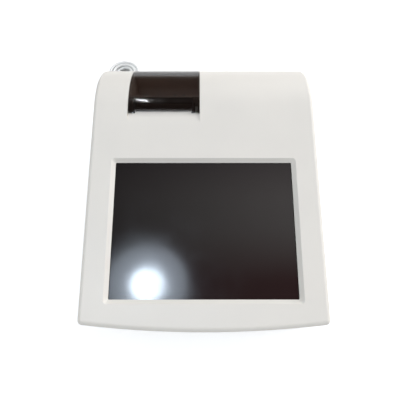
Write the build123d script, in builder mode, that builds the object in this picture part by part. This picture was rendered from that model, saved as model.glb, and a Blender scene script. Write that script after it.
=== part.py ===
"""Bench fluorescence analyzer for animal samples: sloping screen, lidded slip printer, cartridge drawer.

Sizes are in millimetres. X runs across the case, Y to the rear and Z up. The origin is on the table,
under the middle of the case. Two slanted frames follow the deck: u runs up the slope, n out of it.
"""
from build123d import *
import os
from math import cos, degrees, pi, radians, sin, sqrt, tan

os.makedirs("parts", exist_ok=True)

# Case shape
case_width = 216.2
foot_height = 3.0
wall = 2.5
slope = 12.0
screen_edge_height = 66.0
lip_margin = 15.16
lip_bow = 6.3
deck_length = 185.0
roll_radius = 68.0
roll_angle = 57.0
heel_radius = 25.0
heel_skim = 0.05
rear_corner = 12.0
edge_round = 4.0
lip_round = 4.5
split_height = 27.0
reveal = 0.6
tongue_height = 2.5

# Clearances
gap = 0.3
slide_gap = 0.4
run_gap = 0.05
fix_gap = 0.02

# Screen
screen_width = 166.0
screen_length = 125.4
bevel_depth = 3.5
bevel_width = 3.7
rim_width = 7.0
gasket_thickness = 1.0
glass_thickness = 1.8
glass_margin = 5.0
module_width = 183.0
module_length = 141.0
module_thickness = 5.6
bracket_thickness = 1.2
bracket_boss_radius = 4.0
bracket_boss_inset = 10.5
screw_radius = 1.5
screw_head_radius = 2.8
screw_head_height = 2.0
screw_bite = 7.0

# Printer lid
lid_width = 69.8
lid_centre = -38.85
lid_lead = 7.5
lid_notch = 1.7
slip_width = 57.0
slip_shift = -0.6
lip_thickness = 1.2
lip_side_gap = 0.8
slit_width = 0.3
lid_thickness = 2.2
lid_sweep = 52.0
lid_gap = 0.4
barrel_radius = 3.5
pin_radius = 1.25
chute_length = 11.0
chute_depth = 3.4
cheek_thickness = 2.1
cheek_depth = 44.0

# Printer mechanism
platen_radius = 5.0
platen_length = 56.0
platen_lead = 3.0
platen_n = -12.0
shaft_radius = 1.5
bush_radius = 2.6
arm_thickness = 1.2
arm_radius = 4.6
plate_thickness = 1.2
plate_step = 1.6
gear_module = 0.5
platen_teeth = 24
idler_teeth = 40
feed_teeth = 16
gear_width = 2.6
tooth_root = 0.30
tooth_tip = 0.11
idler_lean = 60.0
feed_lean = 20.0
feed_motor_radius = 8.0
feed_motor_length = 22.0
head_thickness = 2.0
sink_thickness = 3.0
head_height = 16.0
frame_floor = -41.0
tear_height = 1.0
tear_length = 2.0
tooth_pitch = 2.0
tooth_height = 0.9
bucket_wall = 1.5
bucket_start = 10.0
bucket_length = 36.0
bucket_floor = -50.0

# Cartridge reader
tray_width = 44.0
tray_height = 9.0
tray_length = 112.0
tray_low = 14.0
tray_travel = 60.0
pocket_width = 26.0
pocket_length = 84.0
pocket_depth = 5.0
pocket_start = 9.0
chassis_wall = 2.0
chassis_length = 128.0
chassis_start = 8.0
rack_module = 0.8
pinion_teeth = 14
front_depth = 5.0
rack_height = 4.0
rack_back = 0.2
tray_motor_radius = 10.0
tray_motor_length = 18.0
optics_width = 34.0
optics_length = 40.0
optics_height = 16.0
optics_start = 52.0
lens_radius = 5.0

# Boards and sockets
board_width = 150.0
board_length = 96.0
board_thickness = 1.6
board_height = 13.0
post_radius = 3.0
panel_width = 172.0
panel_low = 11.0
panel_high = 50.0
panel_flange = 3.0
panel_thickness = 2.0

# Feet and case screws
foot_radius = 7.0
foot_sink = 0.8
foot_inset = 20.5
foot_from_front = 47.7
foot_from_rear = 49.7
boss_radius = 4.5
boss_inset = 11.5
boss_from_front = 33.7
boss_from_rear = 29.7
case_screw_radius = 1.6
case_head_radius = 3.2
case_head_height = 2.4
case_screw_length = 26.0

# Slanted frames and places worked out from the sizes
su, cu = sin(radians(slope)), cos(radians(slope))
turn = radians(roll_angle - slope)
lip_reach = (module_length - screen_length) / 2 + bracket_boss_radius + lip_margin
lid_front = deck_length - lid_lead
platen_u = deck_length - platen_lead
bucket_front = deck_length + bucket_start
bucket_rear = bucket_front + bucket_length
bracket_boss_x = case_width / 2 - bracket_boss_inset
foot_x = case_width / 2 - foot_inset
boss_x = case_width / 2 - boss_inset
roll_dy = deck_length * cu + roll_radius * su
roll_dz = deck_length * su - roll_radius * cu
rear_reach = roll_dy + (roll_radius - heel_radius) * sin(turn) + heel_radius - heel_skim
front_reach = (lip_round - lip_reach) * cu + lip_round * su - lip_round
screen_y = -(rear_reach + front_reach) / 2
rear_y = screen_y + rear_reach
front_y = screen_y + front_reach
boss_front = front_y + boss_from_front
boss_rear = rear_y - boss_from_rear
foot_front = front_y + foot_from_front
foot_rear = rear_y - foot_from_rear
bay_sweep = lid_sweep + degrees((barrel_radius + lid_gap) / roll_radius)


def deck(depth=0.0):
    """Plane parallel to the deck, this far under it: x across, y up from the screen's lower edge."""
    return Plane(origin=(0, screen_y + depth * su, screen_edge_height - depth * cu),
                 x_dir=(1, 0, 0), z_dir=(0, -su, cu))


def side(x):
    """Upright plane at this X, facing +X: its x is u, up the slope, and its y is n, out of the deck."""
    return Plane(origin=(x, screen_y, screen_edge_height), x_dir=(0, cu, su), z_dir=(1, 0, 0))


def world(u, n, x=0.0):
    """The point at u and n of the slanted frames."""
    return (x, screen_y + u * cu - n * su, screen_edge_height + u * su + n * cu)


def on_roll(radius, angle):
    """The u and n of a point at this radius from the roll's centre, at this angle past the flat deck."""
    return (deck_length + radius * sin(radians(angle)), -roll_radius + radius * cos(radians(angle)))


def front_wall_y(z):
    """Y of the front wall's face at this height in the middle; the wall is square to the deck."""
    return screen_y + (-lip_reach + (screen_edge_height - z) * su) / cu


def case_form(inset):
    """The case's outer form, drawn in by this much on every face."""
    half = case_width / 2 - inset
    with BuildPart() as form:
        with BuildSketch(Plane.YZ):
            with BuildLine():
                far = world(-lip_reach - 40, -inset)[1:]
                flat = world(deck_length, -inset)[1:]
                roll = [world(*on_roll(roll_radius - inset, a))[1:] for a in (roll_angle / 2, roll_angle)]
                back = rear_y + heel_skim - inset
                heel_y = rear_y + heel_skim - heel_radius
                heel_z = screen_edge_height + roll_dz + (roll_radius - heel_radius) * cos(turn)
                reach = heel_radius - inset
                half_turn = (turn + pi / 2) / 2
                mid = (heel_y + reach * sin(half_turn), heel_z + reach * cos(half_turn))
                low = foot_height + inset
                Line(far, flat)
                ThreePointArc(flat, roll[0], roll[1])
                ThreePointArc(roll[1], mid, (back, heel_z))
                Polyline((back, heel_z), (back, low), (far[0], low), far)
            make_face()
        extrude(amount=case_width, both=True)
        with BuildSketch(deck()):
            with BuildLine():
                front = -lip_reach + inset
                ThreePointArc((-2 * half, front + 4 * lip_bow), (0, front), (2 * half, front + 4 * lip_bow))
                Polyline((2 * half, front + 4 * lip_bow), (2 * half, 2 * deck_length),
                         (-2 * half, 2 * deck_length), (-2 * half, front + 4 * lip_bow))
            make_face()
        extrude(amount=case_width, both=True, mode=Mode.INTERSECT)
        nose = faces().sort_by(Axis.Y)[0]
        lip_edge = nose.edges().filter_by(lambda e: abs(e.center().X) < 1).sort_by(Axis.Z)[-1]
        fillet(lip_edge, radius=lip_round - inset)
        with BuildSketch(Plane.XY):
            with Locations((0, back - case_width)):
                Rectangle(2 * half, 2 * case_width)
            fillet(vertices().group_by(Axis.Y)[-1], radius=rear_corner - inset)
        extrude(amount=case_width, mode=Mode.INTERSECT)
        shoulders = edges().filter_by(lambda e: abs(e.center().X) > half - rear_corner - 0.1)
        shoulders = shoulders.filter_by(lambda e: e.center().Z > 60 and abs(e.tangent_at(0.5).Z) < 0.97)
        fillet(shoulders, radius=edge_round - inset)
        split(bisect_by=Plane.XZ.offset(inset - rear_y), keep=Keep.TOP)
    return form.part


def band(form, low, high):
    """The stretch of a form between two heights."""
    with BuildPart() as piece:
        add(form)
        split(bisect_by=Plane.XY.offset(low), keep=Keep.TOP)
        split(bisect_by=Plane.XY.offset(high), keep=Keep.BOTTOM)
    return piece.part


def save(piece, name):
    """Label a finished piece and write its file."""
    piece.part.label = name
    export_step(piece.part, f"parts/{name}.step")


def gear_outline(teeth, module, phase):
    """A gear's outline with straight flanks and some backlash, one tooth centred on this angle in degrees."""
    pitch = 360 / teeth
    radius = teeth * module / 2
    low, high = radius - 1.2 * module, radius + 0.8 * module
    points = []
    for k in range(teeth):
        for r, share in ((low, -tooth_root), (high, -tooth_tip), (high, tooth_tip), (low, tooth_root)):
            angle = radians(phase + (k + share) * pitch)
            points.append((r * cos(angle), r * sin(angle)))
    return points


# Heights and edges used by several pieces
roof = screen_edge_height + deck_length
floor_top = foot_height + wall
screen_mid = screen_length / 2
lid_left = lid_centre - lid_width / 2
lid_right = lid_centre + lid_width / 2
slip_centre = lid_centre + slip_shift
bay_left = lid_left - lid_gap
bay_right = lid_right + lid_gap
barrel = on_roll(roll_radius - barrel_radius, lid_sweep)
glass_depth = bevel_depth + gasket_thickness
module_depth = glass_depth + glass_thickness
bracket_depth = module_depth + module_thickness
bracket_bosses = [(x, u) for x in (-bracket_boss_x, bracket_boss_x)
                  for u in (screen_mid - module_length / 2 - bracket_boss_radius,
                            screen_mid + module_length / 2 + bracket_boss_radius)]
case_bosses = [(x, y) for x in (-boss_x, boss_x) for y in (boss_front, boss_rear)]
plate_right = lid_right - gear_width - plate_step - slide_gap
plate_left = lid_left + 2 * plate_step
frame_bosses = [(platen_u - 26.0, frame_floor + 3.5), (platen_u + 5.0, frame_floor + 3.5)]
frame_boss_radius = 2.8

outer_form = case_form(0)
groove_form = case_form(wall / 2)
tongue_form = case_form(wall / 2 + gap / 2)
inner_form = case_form(wall)

# Inside features of the top housing, kept inside the wall
with BuildPart() as top_ribs:
    with BuildSketch(deck(bevel_depth)):
        with Locations((0, screen_mid)):
            Rectangle(screen_width + 2 * rim_width, screen_length + 2 * rim_width)
    extrude(amount=bevel_depth)
    with BuildSketch(deck(bracket_depth)):
        with Locations(bracket_bosses):
            Circle(bracket_boss_radius)
    extrude(amount=bracket_depth)
    with BuildSketch(deck(chute_depth + wall)):
        with Locations((lid_centre, lid_front - lid_gap)):
            Rectangle(lid_width + 2 * lid_gap, chute_length + wall, align=(Align.CENTER, Align.MAX))
    extrude(amount=chute_depth + wall)
    for x in (bay_left - cheek_thickness, bay_right):
        with BuildSketch(side(x)):
            with Locations((frame_bosses[0][0] - frame_boss_radius, 0)):
                Rectangle(2 * roll_radius, cheek_depth, align=(Align.MIN, Align.MAX))
        extrude(amount=cheek_thickness)
    with BuildSketch(Plane.XY.offset(split_height + reveal)):
        with Locations(case_bosses):
            Circle(boss_radius)
    extrude(amount=roof)
    add(groove_form, mode=Mode.INTERSECT)

with BuildPart() as top_housing:
    add(band(outer_form, split_height + reveal, roof))
    add(inner_form, mode=Mode.SUBTRACT)
    add(band(groove_form, split_height, split_height + tongue_height + gap), mode=Mode.SUBTRACT)
    add(top_ribs.part)
    # Screen opening with its sloping edge
    with BuildSketch(deck(bracket_depth)):
        with Locations((0, screen_mid)):
            RectangleRounded(screen_width, screen_length, 1.0)
    extrude(amount=bracket_depth + 1, mode=Mode.SUBTRACT)
    with BuildSketch(deck(bevel_depth)):
        with Locations((0, screen_mid)):
            RectangleRounded(screen_width, screen_length, 1.0)
    with BuildSketch(deck()):
        with Locations((0, screen_mid)):
            RectangleRounded(screen_width + 2 * bevel_width, screen_length + 2 * bevel_width,
                             1.0 + bevel_width / 2)
    loft(mode=Mode.SUBTRACT)
    # Bay under the lid, round the barrel, and the sloping chute for the slip in front of it
    with BuildSketch(side(bay_left)):
        edge_angle = radians(bay_sweep)
        reach = roll_radius / cos(edge_angle)
        Polygon((lid_front - lid_gap, -2 * roll_radius), (lid_front - lid_gap, roll_radius),
                (deck_length + reach * sin(edge_angle), -roll_radius + reach * cos(edge_angle)),
                (deck_length, -roll_radius), align=None)
        with Locations(barrel):
            Circle(barrel_radius + gap)
    extrude(amount=bay_right - bay_left, mode=Mode.SUBTRACT)
    with BuildSketch(side(bay_left)):
        Polygon((lid_front - chute_length, 0), (lid_front, -chute_depth), (lid_front, roll_radius),
                (lid_front - chute_length, roll_radius), align=None)
    extrude(amount=bay_right - bay_left, mode=Mode.SUBTRACT)
    with BuildSketch(deck(chute_depth + lip_thickness)):
        with Locations((slip_centre, lid_front + lid_notch - slit_width)):
            Rectangle(slip_width - 2 * lip_side_gap, lid_notch + wall, align=(Align.CENTER, Align.MAX))
    extrude(amount=lip_thickness)
    with BuildSketch(side(bay_left - cheek_thickness)):
        with Locations(barrel):
            Circle(pin_radius + run_gap)
        with Locations(frame_bosses):
            Circle(screw_radius + gap)
    extrude(amount=bay_right - bay_left + 2 * cheek_thickness, mode=Mode.SUBTRACT)
    # Window for the rear panel, and the screw holes
    with BuildSketch(Plane.XZ.offset(-rear_y - 1)):
        with Locations((0, panel_low)):
            Rectangle(panel_width, panel_high - panel_low, align=(Align.CENTER, Align.MIN))
    extrude(amount=wall + 2, mode=Mode.SUBTRACT)
    with BuildSketch(deck(bracket_depth)):
        with Locations(bracket_bosses):
            Circle(screw_radius + fix_gap)
    extrude(amount=screw_bite + 0.5, mode=Mode.SUBTRACT)
    with BuildSketch(Plane.XY.offset(split_height)):
        with Locations(case_bosses):
            Circle(case_screw_radius + fix_gap)
    extrude(amount=foot_height + case_head_height + case_screw_length + 1 - split_height, mode=Mode.SUBTRACT)
save(top_housing, "top_housing")

# Base housing: tray with a tongue, bosses, posts, drawer slot and vents
panel_face = rear_y - wall
board_rear = panel_face - panel_thickness - 1.0
board_mid = board_rear - board_length / 2
board_posts = [(x, board_mid + y) for x in (-board_width / 2 + 6, board_width / 2 - 6)
               for y in (-board_length / 2 + 5, board_length / 2 - 26)]
tray_front = front_wall_y(tray_low + tray_height)
rack_depth = 2.0 * rack_module
front_width = tray_width + 2 * rack_depth + 1.0
chassis_front = tray_front + chassis_start
chassis_floor = tray_low - slide_gap - chassis_wall
chassis_half = tray_width / 2 + 12.0
chassis_posts = [(x, chassis_front + y) for x in (-chassis_half + 4, chassis_half - 4)
                 for y in (12.0, chassis_length - 12.0)]

with BuildPart() as base_housing:
    add(band(outer_form, 0, split_height))
    add(band(tongue_form, split_height - 1, split_height + tongue_height))
    add(band(inner_form, 0, roof), mode=Mode.SUBTRACT)
    with BuildSketch(Plane.XY.offset(foot_height + foot_sink + 0.5)):
        with Locations(case_bosses):
            Circle(boss_radius)
    extrude(amount=split_height - foot_height - foot_sink - 0.5)
    with BuildSketch(Plane.XY.offset(floor_top - 0.5)):
        with Locations(board_posts):
            Circle(post_radius)
    extrude(amount=board_height - floor_top + 0.5)
    with BuildSketch(Plane.XY.offset(floor_top - 0.5)):
        with Locations(chassis_posts):
            Circle(post_radius)
    extrude(amount=chassis_floor - floor_top + 0.5)
    # Screw holes, feet, drawer slot, vents and the rear panel's window
    with BuildSketch(Plane.XY):
        with Locations(case_bosses):
            Circle(case_screw_radius + gap)
    extrude(amount=roof, mode=Mode.SUBTRACT)
    with BuildSketch(Plane.XY):
        with Locations(case_bosses):
            Circle(case_head_radius + gap)
    extrude(amount=foot_height + case_head_height, mode=Mode.SUBTRACT)
    with BuildSketch(Plane.XY.offset(board_height)):
        with Locations(board_posts):
            Circle(screw_radius + fix_gap)
    extrude(amount=-(board_height - floor_top), mode=Mode.SUBTRACT)
    with BuildSketch(Plane.XY.offset(chassis_floor)):
        with Locations(chassis_posts):
            Circle(screw_radius + fix_gap)
    extrude(amount=-(chassis_floor - floor_top), mode=Mode.SUBTRACT)
    with BuildSketch(Plane.XY):
        with Locations([(x, y) for x in (-foot_x, foot_x) for y in (foot_front, foot_rear)]):
            Circle(foot_radius + gap)
    extrude(amount=foot_height + foot_sink, mode=Mode.SUBTRACT)
    with BuildSketch(Plane.XZ.offset(-front_y + 1)):
        with Locations((0, tray_low - gap)):
            Rectangle(front_width + 2 * slide_gap, tray_height + 2 * gap, align=(Align.CENTER, Align.MIN))
    extrude(amount=-30, mode=Mode.SUBTRACT)
    with BuildSketch(Plane.XY):
        with Locations((0, board_mid)):
            with GridLocations(8, 34, 12, 2):
                SlotOverall(28, 2.4, rotation=90)
    extrude(amount=floor_top + 1, mode=Mode.SUBTRACT)
    with BuildSketch(Plane.XZ.offset(-rear_y - 1)):
        with Locations((0, panel_low)):
            Rectangle(panel_width, panel_high - panel_low, align=(Align.CENTER, Align.MIN))
    extrude(amount=wall + 2, mode=Mode.SUBTRACT)
save(base_housing, "base_housing")

with BuildPart() as rubber_feet:
    with BuildSketch(Plane.XY):
        with Locations([(x, y) for x in (-foot_x, foot_x) for y in (foot_front, foot_rear)]):
            Circle(foot_radius)
    extrude(amount=foot_height + foot_sink)
    chamfer(edges().group_by(Axis.Z)[0], length=0.6)
save(rubber_feet, "rubber_feet")


def screws(places, plane_of, head, head_height, shank, length):
    """Pan-head screws as separate solids: heads on these planes, shanks along each plane's normal."""
    with BuildPart() as group:
        for place in places:
            with BuildSketch(plane_of(place)):
                Circle(head)
            extrude(amount=-head_height)
            with BuildSketch(plane_of(place)):
                Circle(shank)
            extrude(amount=length)
            with BuildSketch(plane_of(place).offset(-head_height)):
                Rectangle(head, 0.6)
                Rectangle(0.6, head)
            extrude(amount=head_height / 2, mode=Mode.SUBTRACT)
    return group


save(screws(case_bosses, lambda p: Plane(origin=(p[0], p[1], foot_height + case_head_height)),
            case_head_radius, case_head_height, case_screw_radius, case_screw_length), "case_screws")

# Screen stack under the opening
with BuildPart() as screen_gasket:
    with BuildSketch(deck(glass_depth)):
        with Locations((0, screen_mid)):
            Rectangle(screen_width + 2 * glass_margin, screen_length + 2 * glass_margin)
            Rectangle(screen_width + 2 * gap, screen_length + 2 * gap, mode=Mode.SUBTRACT)
    extrude(amount=gasket_thickness)
save(screen_gasket, "screen_gasket")

with BuildPart() as touch_panel:
    with BuildSketch(deck(module_depth)):
        with Locations((0, screen_mid)):
            RectangleRounded(screen_width + 2 * glass_margin, screen_length + 2 * glass_margin, 1.5)
    extrude(amount=glass_thickness)
save(touch_panel, "touch_panel")

with BuildPart() as display_module:
    with BuildSketch(deck(bracket_depth)):
        with Locations((0, screen_mid)):
            Rectangle(module_width, module_length)
    extrude(amount=module_thickness)
    with BuildSketch(deck(bracket_depth)):
        with Locations((0, screen_mid)):
            Rectangle(module_width - 16, module_length - 16)
    extrude(amount=0.8, mode=Mode.SUBTRACT)
save(display_module, "display_module")

with BuildPart() as display_bracket:
    with BuildSketch(deck(bracket_depth + bracket_thickness)):
        with Locations((0, screen_mid)):
            Rectangle(module_width - 4, module_length - 4)
            Rectangle(module_width - 30, module_length - 30, mode=Mode.SUBTRACT)
            Rectangle(12, module_length - 20)
        for x, u in bracket_bosses:
            inward = (x * (module_width / 2 - 8) / abs(x), screen_mid + (u - screen_mid) * 0.86)
            with BuildLine():
                Line((x, u), inward)
            trace(line_width=2 * bracket_boss_radius)
            with Locations((x, u)):
                Circle(bracket_boss_radius)
        with Locations(bracket_bosses):
            Circle(screw_radius + gap, mode=Mode.SUBTRACT)
    extrude(amount=bracket_thickness)
save(display_bracket, "display_bracket")

save(screws(bracket_bosses, lambda p: Plane(
    origin=world(p[1], -bracket_depth - bracket_thickness, p[0]), x_dir=(1, 0, 0), z_dir=(0, -su, cu)),
    screw_head_radius, screw_head_height, screw_radius, bracket_thickness + screw_bite), "display_screws")

# Printer lid: a shell that follows the deck and the roll, with a hinge barrel along its rear edge
with BuildPart() as printer_lid:
    with BuildSketch(side(lid_left)):
        with BuildLine():
            inside = roll_radius - lid_thickness
            outer_arc = [on_roll(roll_radius, a) for a in (0, lid_sweep / 2, lid_sweep)]
            inner_arc = [on_roll(inside, a) for a in (lid_sweep, lid_sweep / 2, 0)]
            Line((lid_front, 0), outer_arc[0])
            ThreePointArc(*outer_arc)
            Line(outer_arc[-1], inner_arc[0])
            ThreePointArc(*inner_arc)
            Polyline(inner_arc[-1], (lid_front, -lid_thickness), (lid_front, 0))
        make_face()
        with Locations(barrel):
            Circle(barrel_radius)
    extrude(amount=lid_width)
    fillet(edges().filter_by(Axis.X).sort_by(Axis.Y)[:2], radius=0.5)
    with BuildSketch(deck(lid_thickness + 1)):
        with Locations((slip_centre, lid_front - 1)):
            Rectangle(slip_width, lid_notch + 1, align=(Align.CENTER, Align.MIN))
    extrude(amount=lid_thickness + 2, mode=Mode.SUBTRACT)
    with BuildSketch(side(lid_left - 1)):
        with Locations(barrel):
            Circle(pin_radius + fix_gap)
    extrude(amount=lid_width + 2, mode=Mode.SUBTRACT)
save(printer_lid, "printer_lid")

with BuildPart() as lid_hinge_pin:
    with BuildSketch(side(bay_left - cheek_thickness)):
        with Locations(barrel):
            Circle(pin_radius)
    extrude(amount=bay_right - bay_left + 2 * cheek_thickness)
    chamfer(edges().filter_by(GeomType.CIRCLE), length=0.3)
save(lid_hinge_pin, "lid_hinge_pin")

# Platen carried under the lid
arm_right = plate_right - plate_thickness - slide_gap - 0.1
arm_left = plate_left + plate_thickness + slide_gap
arm_starts = (arm_left, arm_right - arm_thickness)
platen_mid = (arm_left + arm_right) / 2

with BuildPart() as platen_holder:
    for x in arm_starts:
        with BuildSketch(side(x)):
            Polygon((platen_u - arm_radius, platen_n), (platen_u - arm_radius, -2 * lid_thickness),
                    (platen_u + 2, -lid_thickness - gap), (platen_u + 12, -lid_thickness - 3 * gap),
                    (platen_u + 12, -7.0), (platen_u + arm_radius, platen_n), align=None)
            with Locations((platen_u, platen_n)):
                Circle(arm_radius)
                Circle(bush_radius + fix_gap, mode=Mode.SUBTRACT)
        extrude(amount=arm_thickness)
    with BuildSketch(side(arm_left)):
        Polygon((platen_u + 7, -lid_thickness - 2 * gap), (platen_u + 12, -lid_thickness - 3 * gap),
                (platen_u + 12, -6.0), (platen_u + 7, -6.0), align=None)
    extrude(amount=arm_right - arm_left)
save(platen_holder, "platen_holder")

with BuildPart() as platen_bushes:
    for x in arm_starts:
        with BuildSketch(side(x)):
            with Locations((platen_u, platen_n)):
                Circle(bush_radius)
                Circle(shaft_radius + run_gap, mode=Mode.SUBTRACT)
        extrude(amount=arm_thickness)
save(platen_bushes, "platen_bushes")

with BuildPart() as platen_shaft:
    with BuildSketch(side(plate_left - 0.8)):
        with Locations((platen_u, platen_n)):
            Circle(shaft_radius)
    extrude(amount=plate_right + gear_width + 0.6 - plate_left + 0.8)
    chamfer(edges().filter_by(GeomType.CIRCLE), length=0.3)
save(platen_shaft, "platen_shaft")

with BuildPart() as platen_roller:
    with BuildSketch(side(platen_mid - platen_length / 2)):
        with Locations((platen_u, platen_n)):
            Circle(platen_radius)
            Circle(shaft_radius + fix_gap, mode=Mode.SUBTRACT)
    extrude(amount=platen_length)
save(platen_roller, "platen_roller")

with BuildPart() as tear_bar:
    with BuildSketch(deck(lid_thickness + tear_height)):
        with Locations((slip_centre, lid_front + lid_notch)):
            Rectangle(slip_width, tear_length, align=(Align.CENTER, Align.MIN))
        count = int(slip_width / tooth_pitch)
        for k in range(count):
            x = slip_centre + (k - (count - 1) / 2) * tooth_pitch
            with Locations((x, lid_front + lid_notch)):
                Polygon((-tooth_pitch * 0.45, 0.1), (0, -tooth_height), (tooth_pitch * 0.45, 0.1), align=None)
    extrude(amount=tear_height - fix_gap)
save(tear_bar, "tear_bar")

# Gears: platen gear, idler on its stud, and the feed motor's pinion, in mesh at rest
to_idler = 180 + idler_lean
to_feed = 180 + feed_lean
idler_reach = (platen_teeth + idler_teeth) * gear_module / 2
feed_reach = (idler_teeth + feed_teeth) * gear_module / 2
idler_at = (platen_u + idler_reach * cos(radians(to_idler)), platen_n + idler_reach * sin(radians(to_idler)))
feed_at = (idler_at[0] + feed_reach * cos(radians(to_feed)), idler_at[1] + feed_reach * sin(radians(to_feed)))
idler_pitch = 360 / idler_teeth
idler_phase = to_idler - 180 + idler_pitch / 2
lag = (to_feed - idler_phase + idler_pitch / 2) % idler_pitch - idler_pitch / 2
feed_phase = to_feed - 180 + 180 / feed_teeth + lag * idler_teeth / feed_teeth
gear_start = plate_right + slide_gap

with BuildPart() as platen_gear:
    with BuildSketch(side(gear_start)):
        with Locations((platen_u, platen_n)):
            Polygon(*gear_outline(platen_teeth, gear_module, to_idler), align=None)
            Circle(shaft_radius + fix_gap, mode=Mode.SUBTRACT)
    extrude(amount=gear_width)
save(platen_gear, "platen_gear")

with BuildPart() as idler_gear:
    with BuildSketch(side(gear_start)):
        with Locations(idler_at):
            Polygon(*gear_outline(idler_teeth, gear_module, idler_phase), align=None)
            Circle(shaft_radius + run_gap, mode=Mode.SUBTRACT)
    extrude(amount=gear_width)
save(idler_gear, "idler_gear")

with BuildPart() as feed_pinion:
    with BuildSketch(side(gear_start)):
        with Locations(feed_at):
            Polygon(*gear_outline(feed_teeth, gear_module, feed_phase), align=None)
    extrude(amount=gear_width)
    with BuildSketch(side(plate_right - plate_thickness - 2.0)):
        with Locations(feed_at):
            Circle(1.0)
    extrude(amount=plate_thickness + 2.0 + slide_gap)
save(feed_pinion, "feed_pinion")

with BuildPart() as idler_stud:
    with BuildSketch(side(plate_right)):
        with Locations(idler_at):
            Circle(shaft_radius)
    extrude(amount=slide_gap + gear_width + 0.3)
    with BuildSketch(side(plate_right + slide_gap + gear_width + 0.3)):
        with Locations(idler_at):
            Circle(shaft_radius + 0.8)
    extrude(amount=0.6)
save(idler_stud, "idler_stud")

# Printer frame with side plates, floor, head wall and ledge
head_rear = platen_u - platen_radius - gap
sink_front = head_rear - head_thickness - sink_thickness
head_low = platen_n - head_height / 2 - 2.0
head_half = slip_width / 2
wall_u = sink_front - 3.5
motor_start = plate_right - plate_thickness - feed_motor_length

with BuildPart() as printer_frame:
    for x in (plate_left, plate_right - plate_thickness):
        with BuildSketch(side(x)):
            Polygon((platen_u - 29, frame_floor), (platen_u + 9, frame_floor), (platen_u + 9, platen_n + 3.5),
                    (platen_u - 6.5, platen_n + 3.5), (platen_u - 12, platen_n - 6),
                    (platen_u - 29, platen_n - 8), align=None)
            with Locations((platen_u, platen_n)):
                Circle(shaft_radius + 0.9, mode=Mode.SUBTRACT)
                Rectangle(2 * shaft_radius + 3.2, 20, align=(Align.CENTER, Align.MIN), mode=Mode.SUBTRACT)
            with Locations(feed_at):
                Circle(2.5, mode=Mode.SUBTRACT)
        extrude(amount=plate_thickness)
    with BuildSketch(side(plate_left)):
        with Locations((platen_u - 29, frame_floor)):
            Rectangle(38, plate_thickness, align=(Align.MIN, Align.MIN))
    extrude(amount=plate_right - plate_left)
    with BuildSketch(side(plate_left)):
        with Locations((wall_u - plate_thickness, frame_floor)):
            Rectangle(plate_thickness, platen_n - 1 - frame_floor, align=(Align.MIN, Align.MIN))
        with Locations((wall_u - plate_thickness, head_low - plate_thickness)):
            Rectangle(head_rear - wall_u + plate_thickness, plate_thickness, align=(Align.MIN, Align.MIN))
    extrude(amount=motor_start - 1.5 - plate_left)
    with BuildSketch(side(bay_left + gap)):
        with Locations(frame_bosses):
            Circle(frame_boss_radius)
    extrude(amount=plate_left - bay_left - gap + 0.2)
    with BuildSketch(side(plate_right - 0.2)):
        with Locations(frame_bosses):
            Circle(frame_boss_radius)
    extrude(amount=bay_right - gap - plate_right + 0.2)
    with BuildSketch(side(bay_left)):
        with Locations(frame_bosses):
            Circle(screw_radius + fix_gap)
    extrude(amount=bay_right - bay_left, mode=Mode.SUBTRACT)
save(printer_frame, "printer_frame")

with BuildPart() as print_head:
    with BuildSketch(side(platen_mid - head_half)):
        with Locations((head_rear, head_low + fix_gap)):
            Rectangle(head_thickness, head_height, align=(Align.MAX, Align.MIN))
    extrude(amount=slip_width)
save(print_head, "print_head")

with BuildPart() as head_heat_sink:
    with BuildSketch(side(platen_mid - head_half)):
        with Locations((head_rear - head_thickness, head_low + 1.0)):
            Rectangle(sink_thickness, head_height - 2.0, align=(Align.MAX, Align.MIN))
        for k in range(3):
            with Locations((sink_front, head_low + 4.0 + 4.0 * k)):
                Rectangle(1.4, 1.6, align=(Align.MIN, Align.CENTER), mode=Mode.SUBTRACT)
    extrude(amount=slip_width)
save(head_heat_sink, "head_heat_sink")

with BuildPart() as head_leaf_spring:
    with BuildSketch(side(platen_mid - head_half + 4.0)):
        with BuildLine():
            foot = (wall_u + 0.2, head_low + 1.0)
            bow = (sink_front - 0.2, head_low + 6.5)
            ThreePointArc(foot, bow, (foot[0], head_low + 12.0))
        trace(line_width=0.3)
    extrude(amount=12.0)
save(head_leaf_spring, "head_leaf_spring")

with BuildPart() as printer_motor:
    with BuildSketch(side(motor_start)):
        with Locations(feed_at):
            Circle(feed_motor_radius)
    extrude(amount=feed_motor_length)
    with BuildSketch(side(plate_right - plate_thickness - 2.2)):
        with Locations(feed_at):
            Circle(1.0 + run_gap)
    extrude(amount=2.2, mode=Mode.SUBTRACT)
    chamfer(faces().sort_by(Axis.X)[0].edges(), length=0.8)
save(printer_motor, "printer_motor")

with BuildPart() as paper_bucket:
    cavity = (bay_left + gap + bucket_wall, bay_right - gap - bucket_wall)
    with BuildSketch(side(bay_left + gap)):
        with Locations((bucket_front, bucket_floor)):
            Rectangle(bucket_rear - bucket_front, -bucket_floor, align=(Align.MIN, Align.MIN))
        fillet(vertices().group_by(Axis.Y)[0], radius=8.0)
        with Locations((deck_length, -roll_radius)):
            Circle(roll_radius - lid_thickness - 2 * gap, mode=Mode.INTERSECT)
    extrude(amount=bay_right - bay_left - 2 * gap)
    with BuildSketch(side(cavity[0])):
        with Locations((bucket_front + bucket_wall, bucket_floor + bucket_wall)):
            Rectangle(bucket_rear - bucket_front - 2 * bucket_wall, -bucket_floor,
                      align=(Align.MIN, Align.MIN))
        fillet(vertices().group_by(Axis.Y)[0], radius=8.0 - bucket_wall)
    extrude(amount=cavity[1] - cavity[0], mode=Mode.SUBTRACT)
save(paper_bucket, "paper_bucket")

# Screws through the cheeks into the printer frame, and through them into the bucket's sides
cheek_ends = ((bay_left - cheek_thickness, 1), (bay_right + cheek_thickness, -1))


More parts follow.
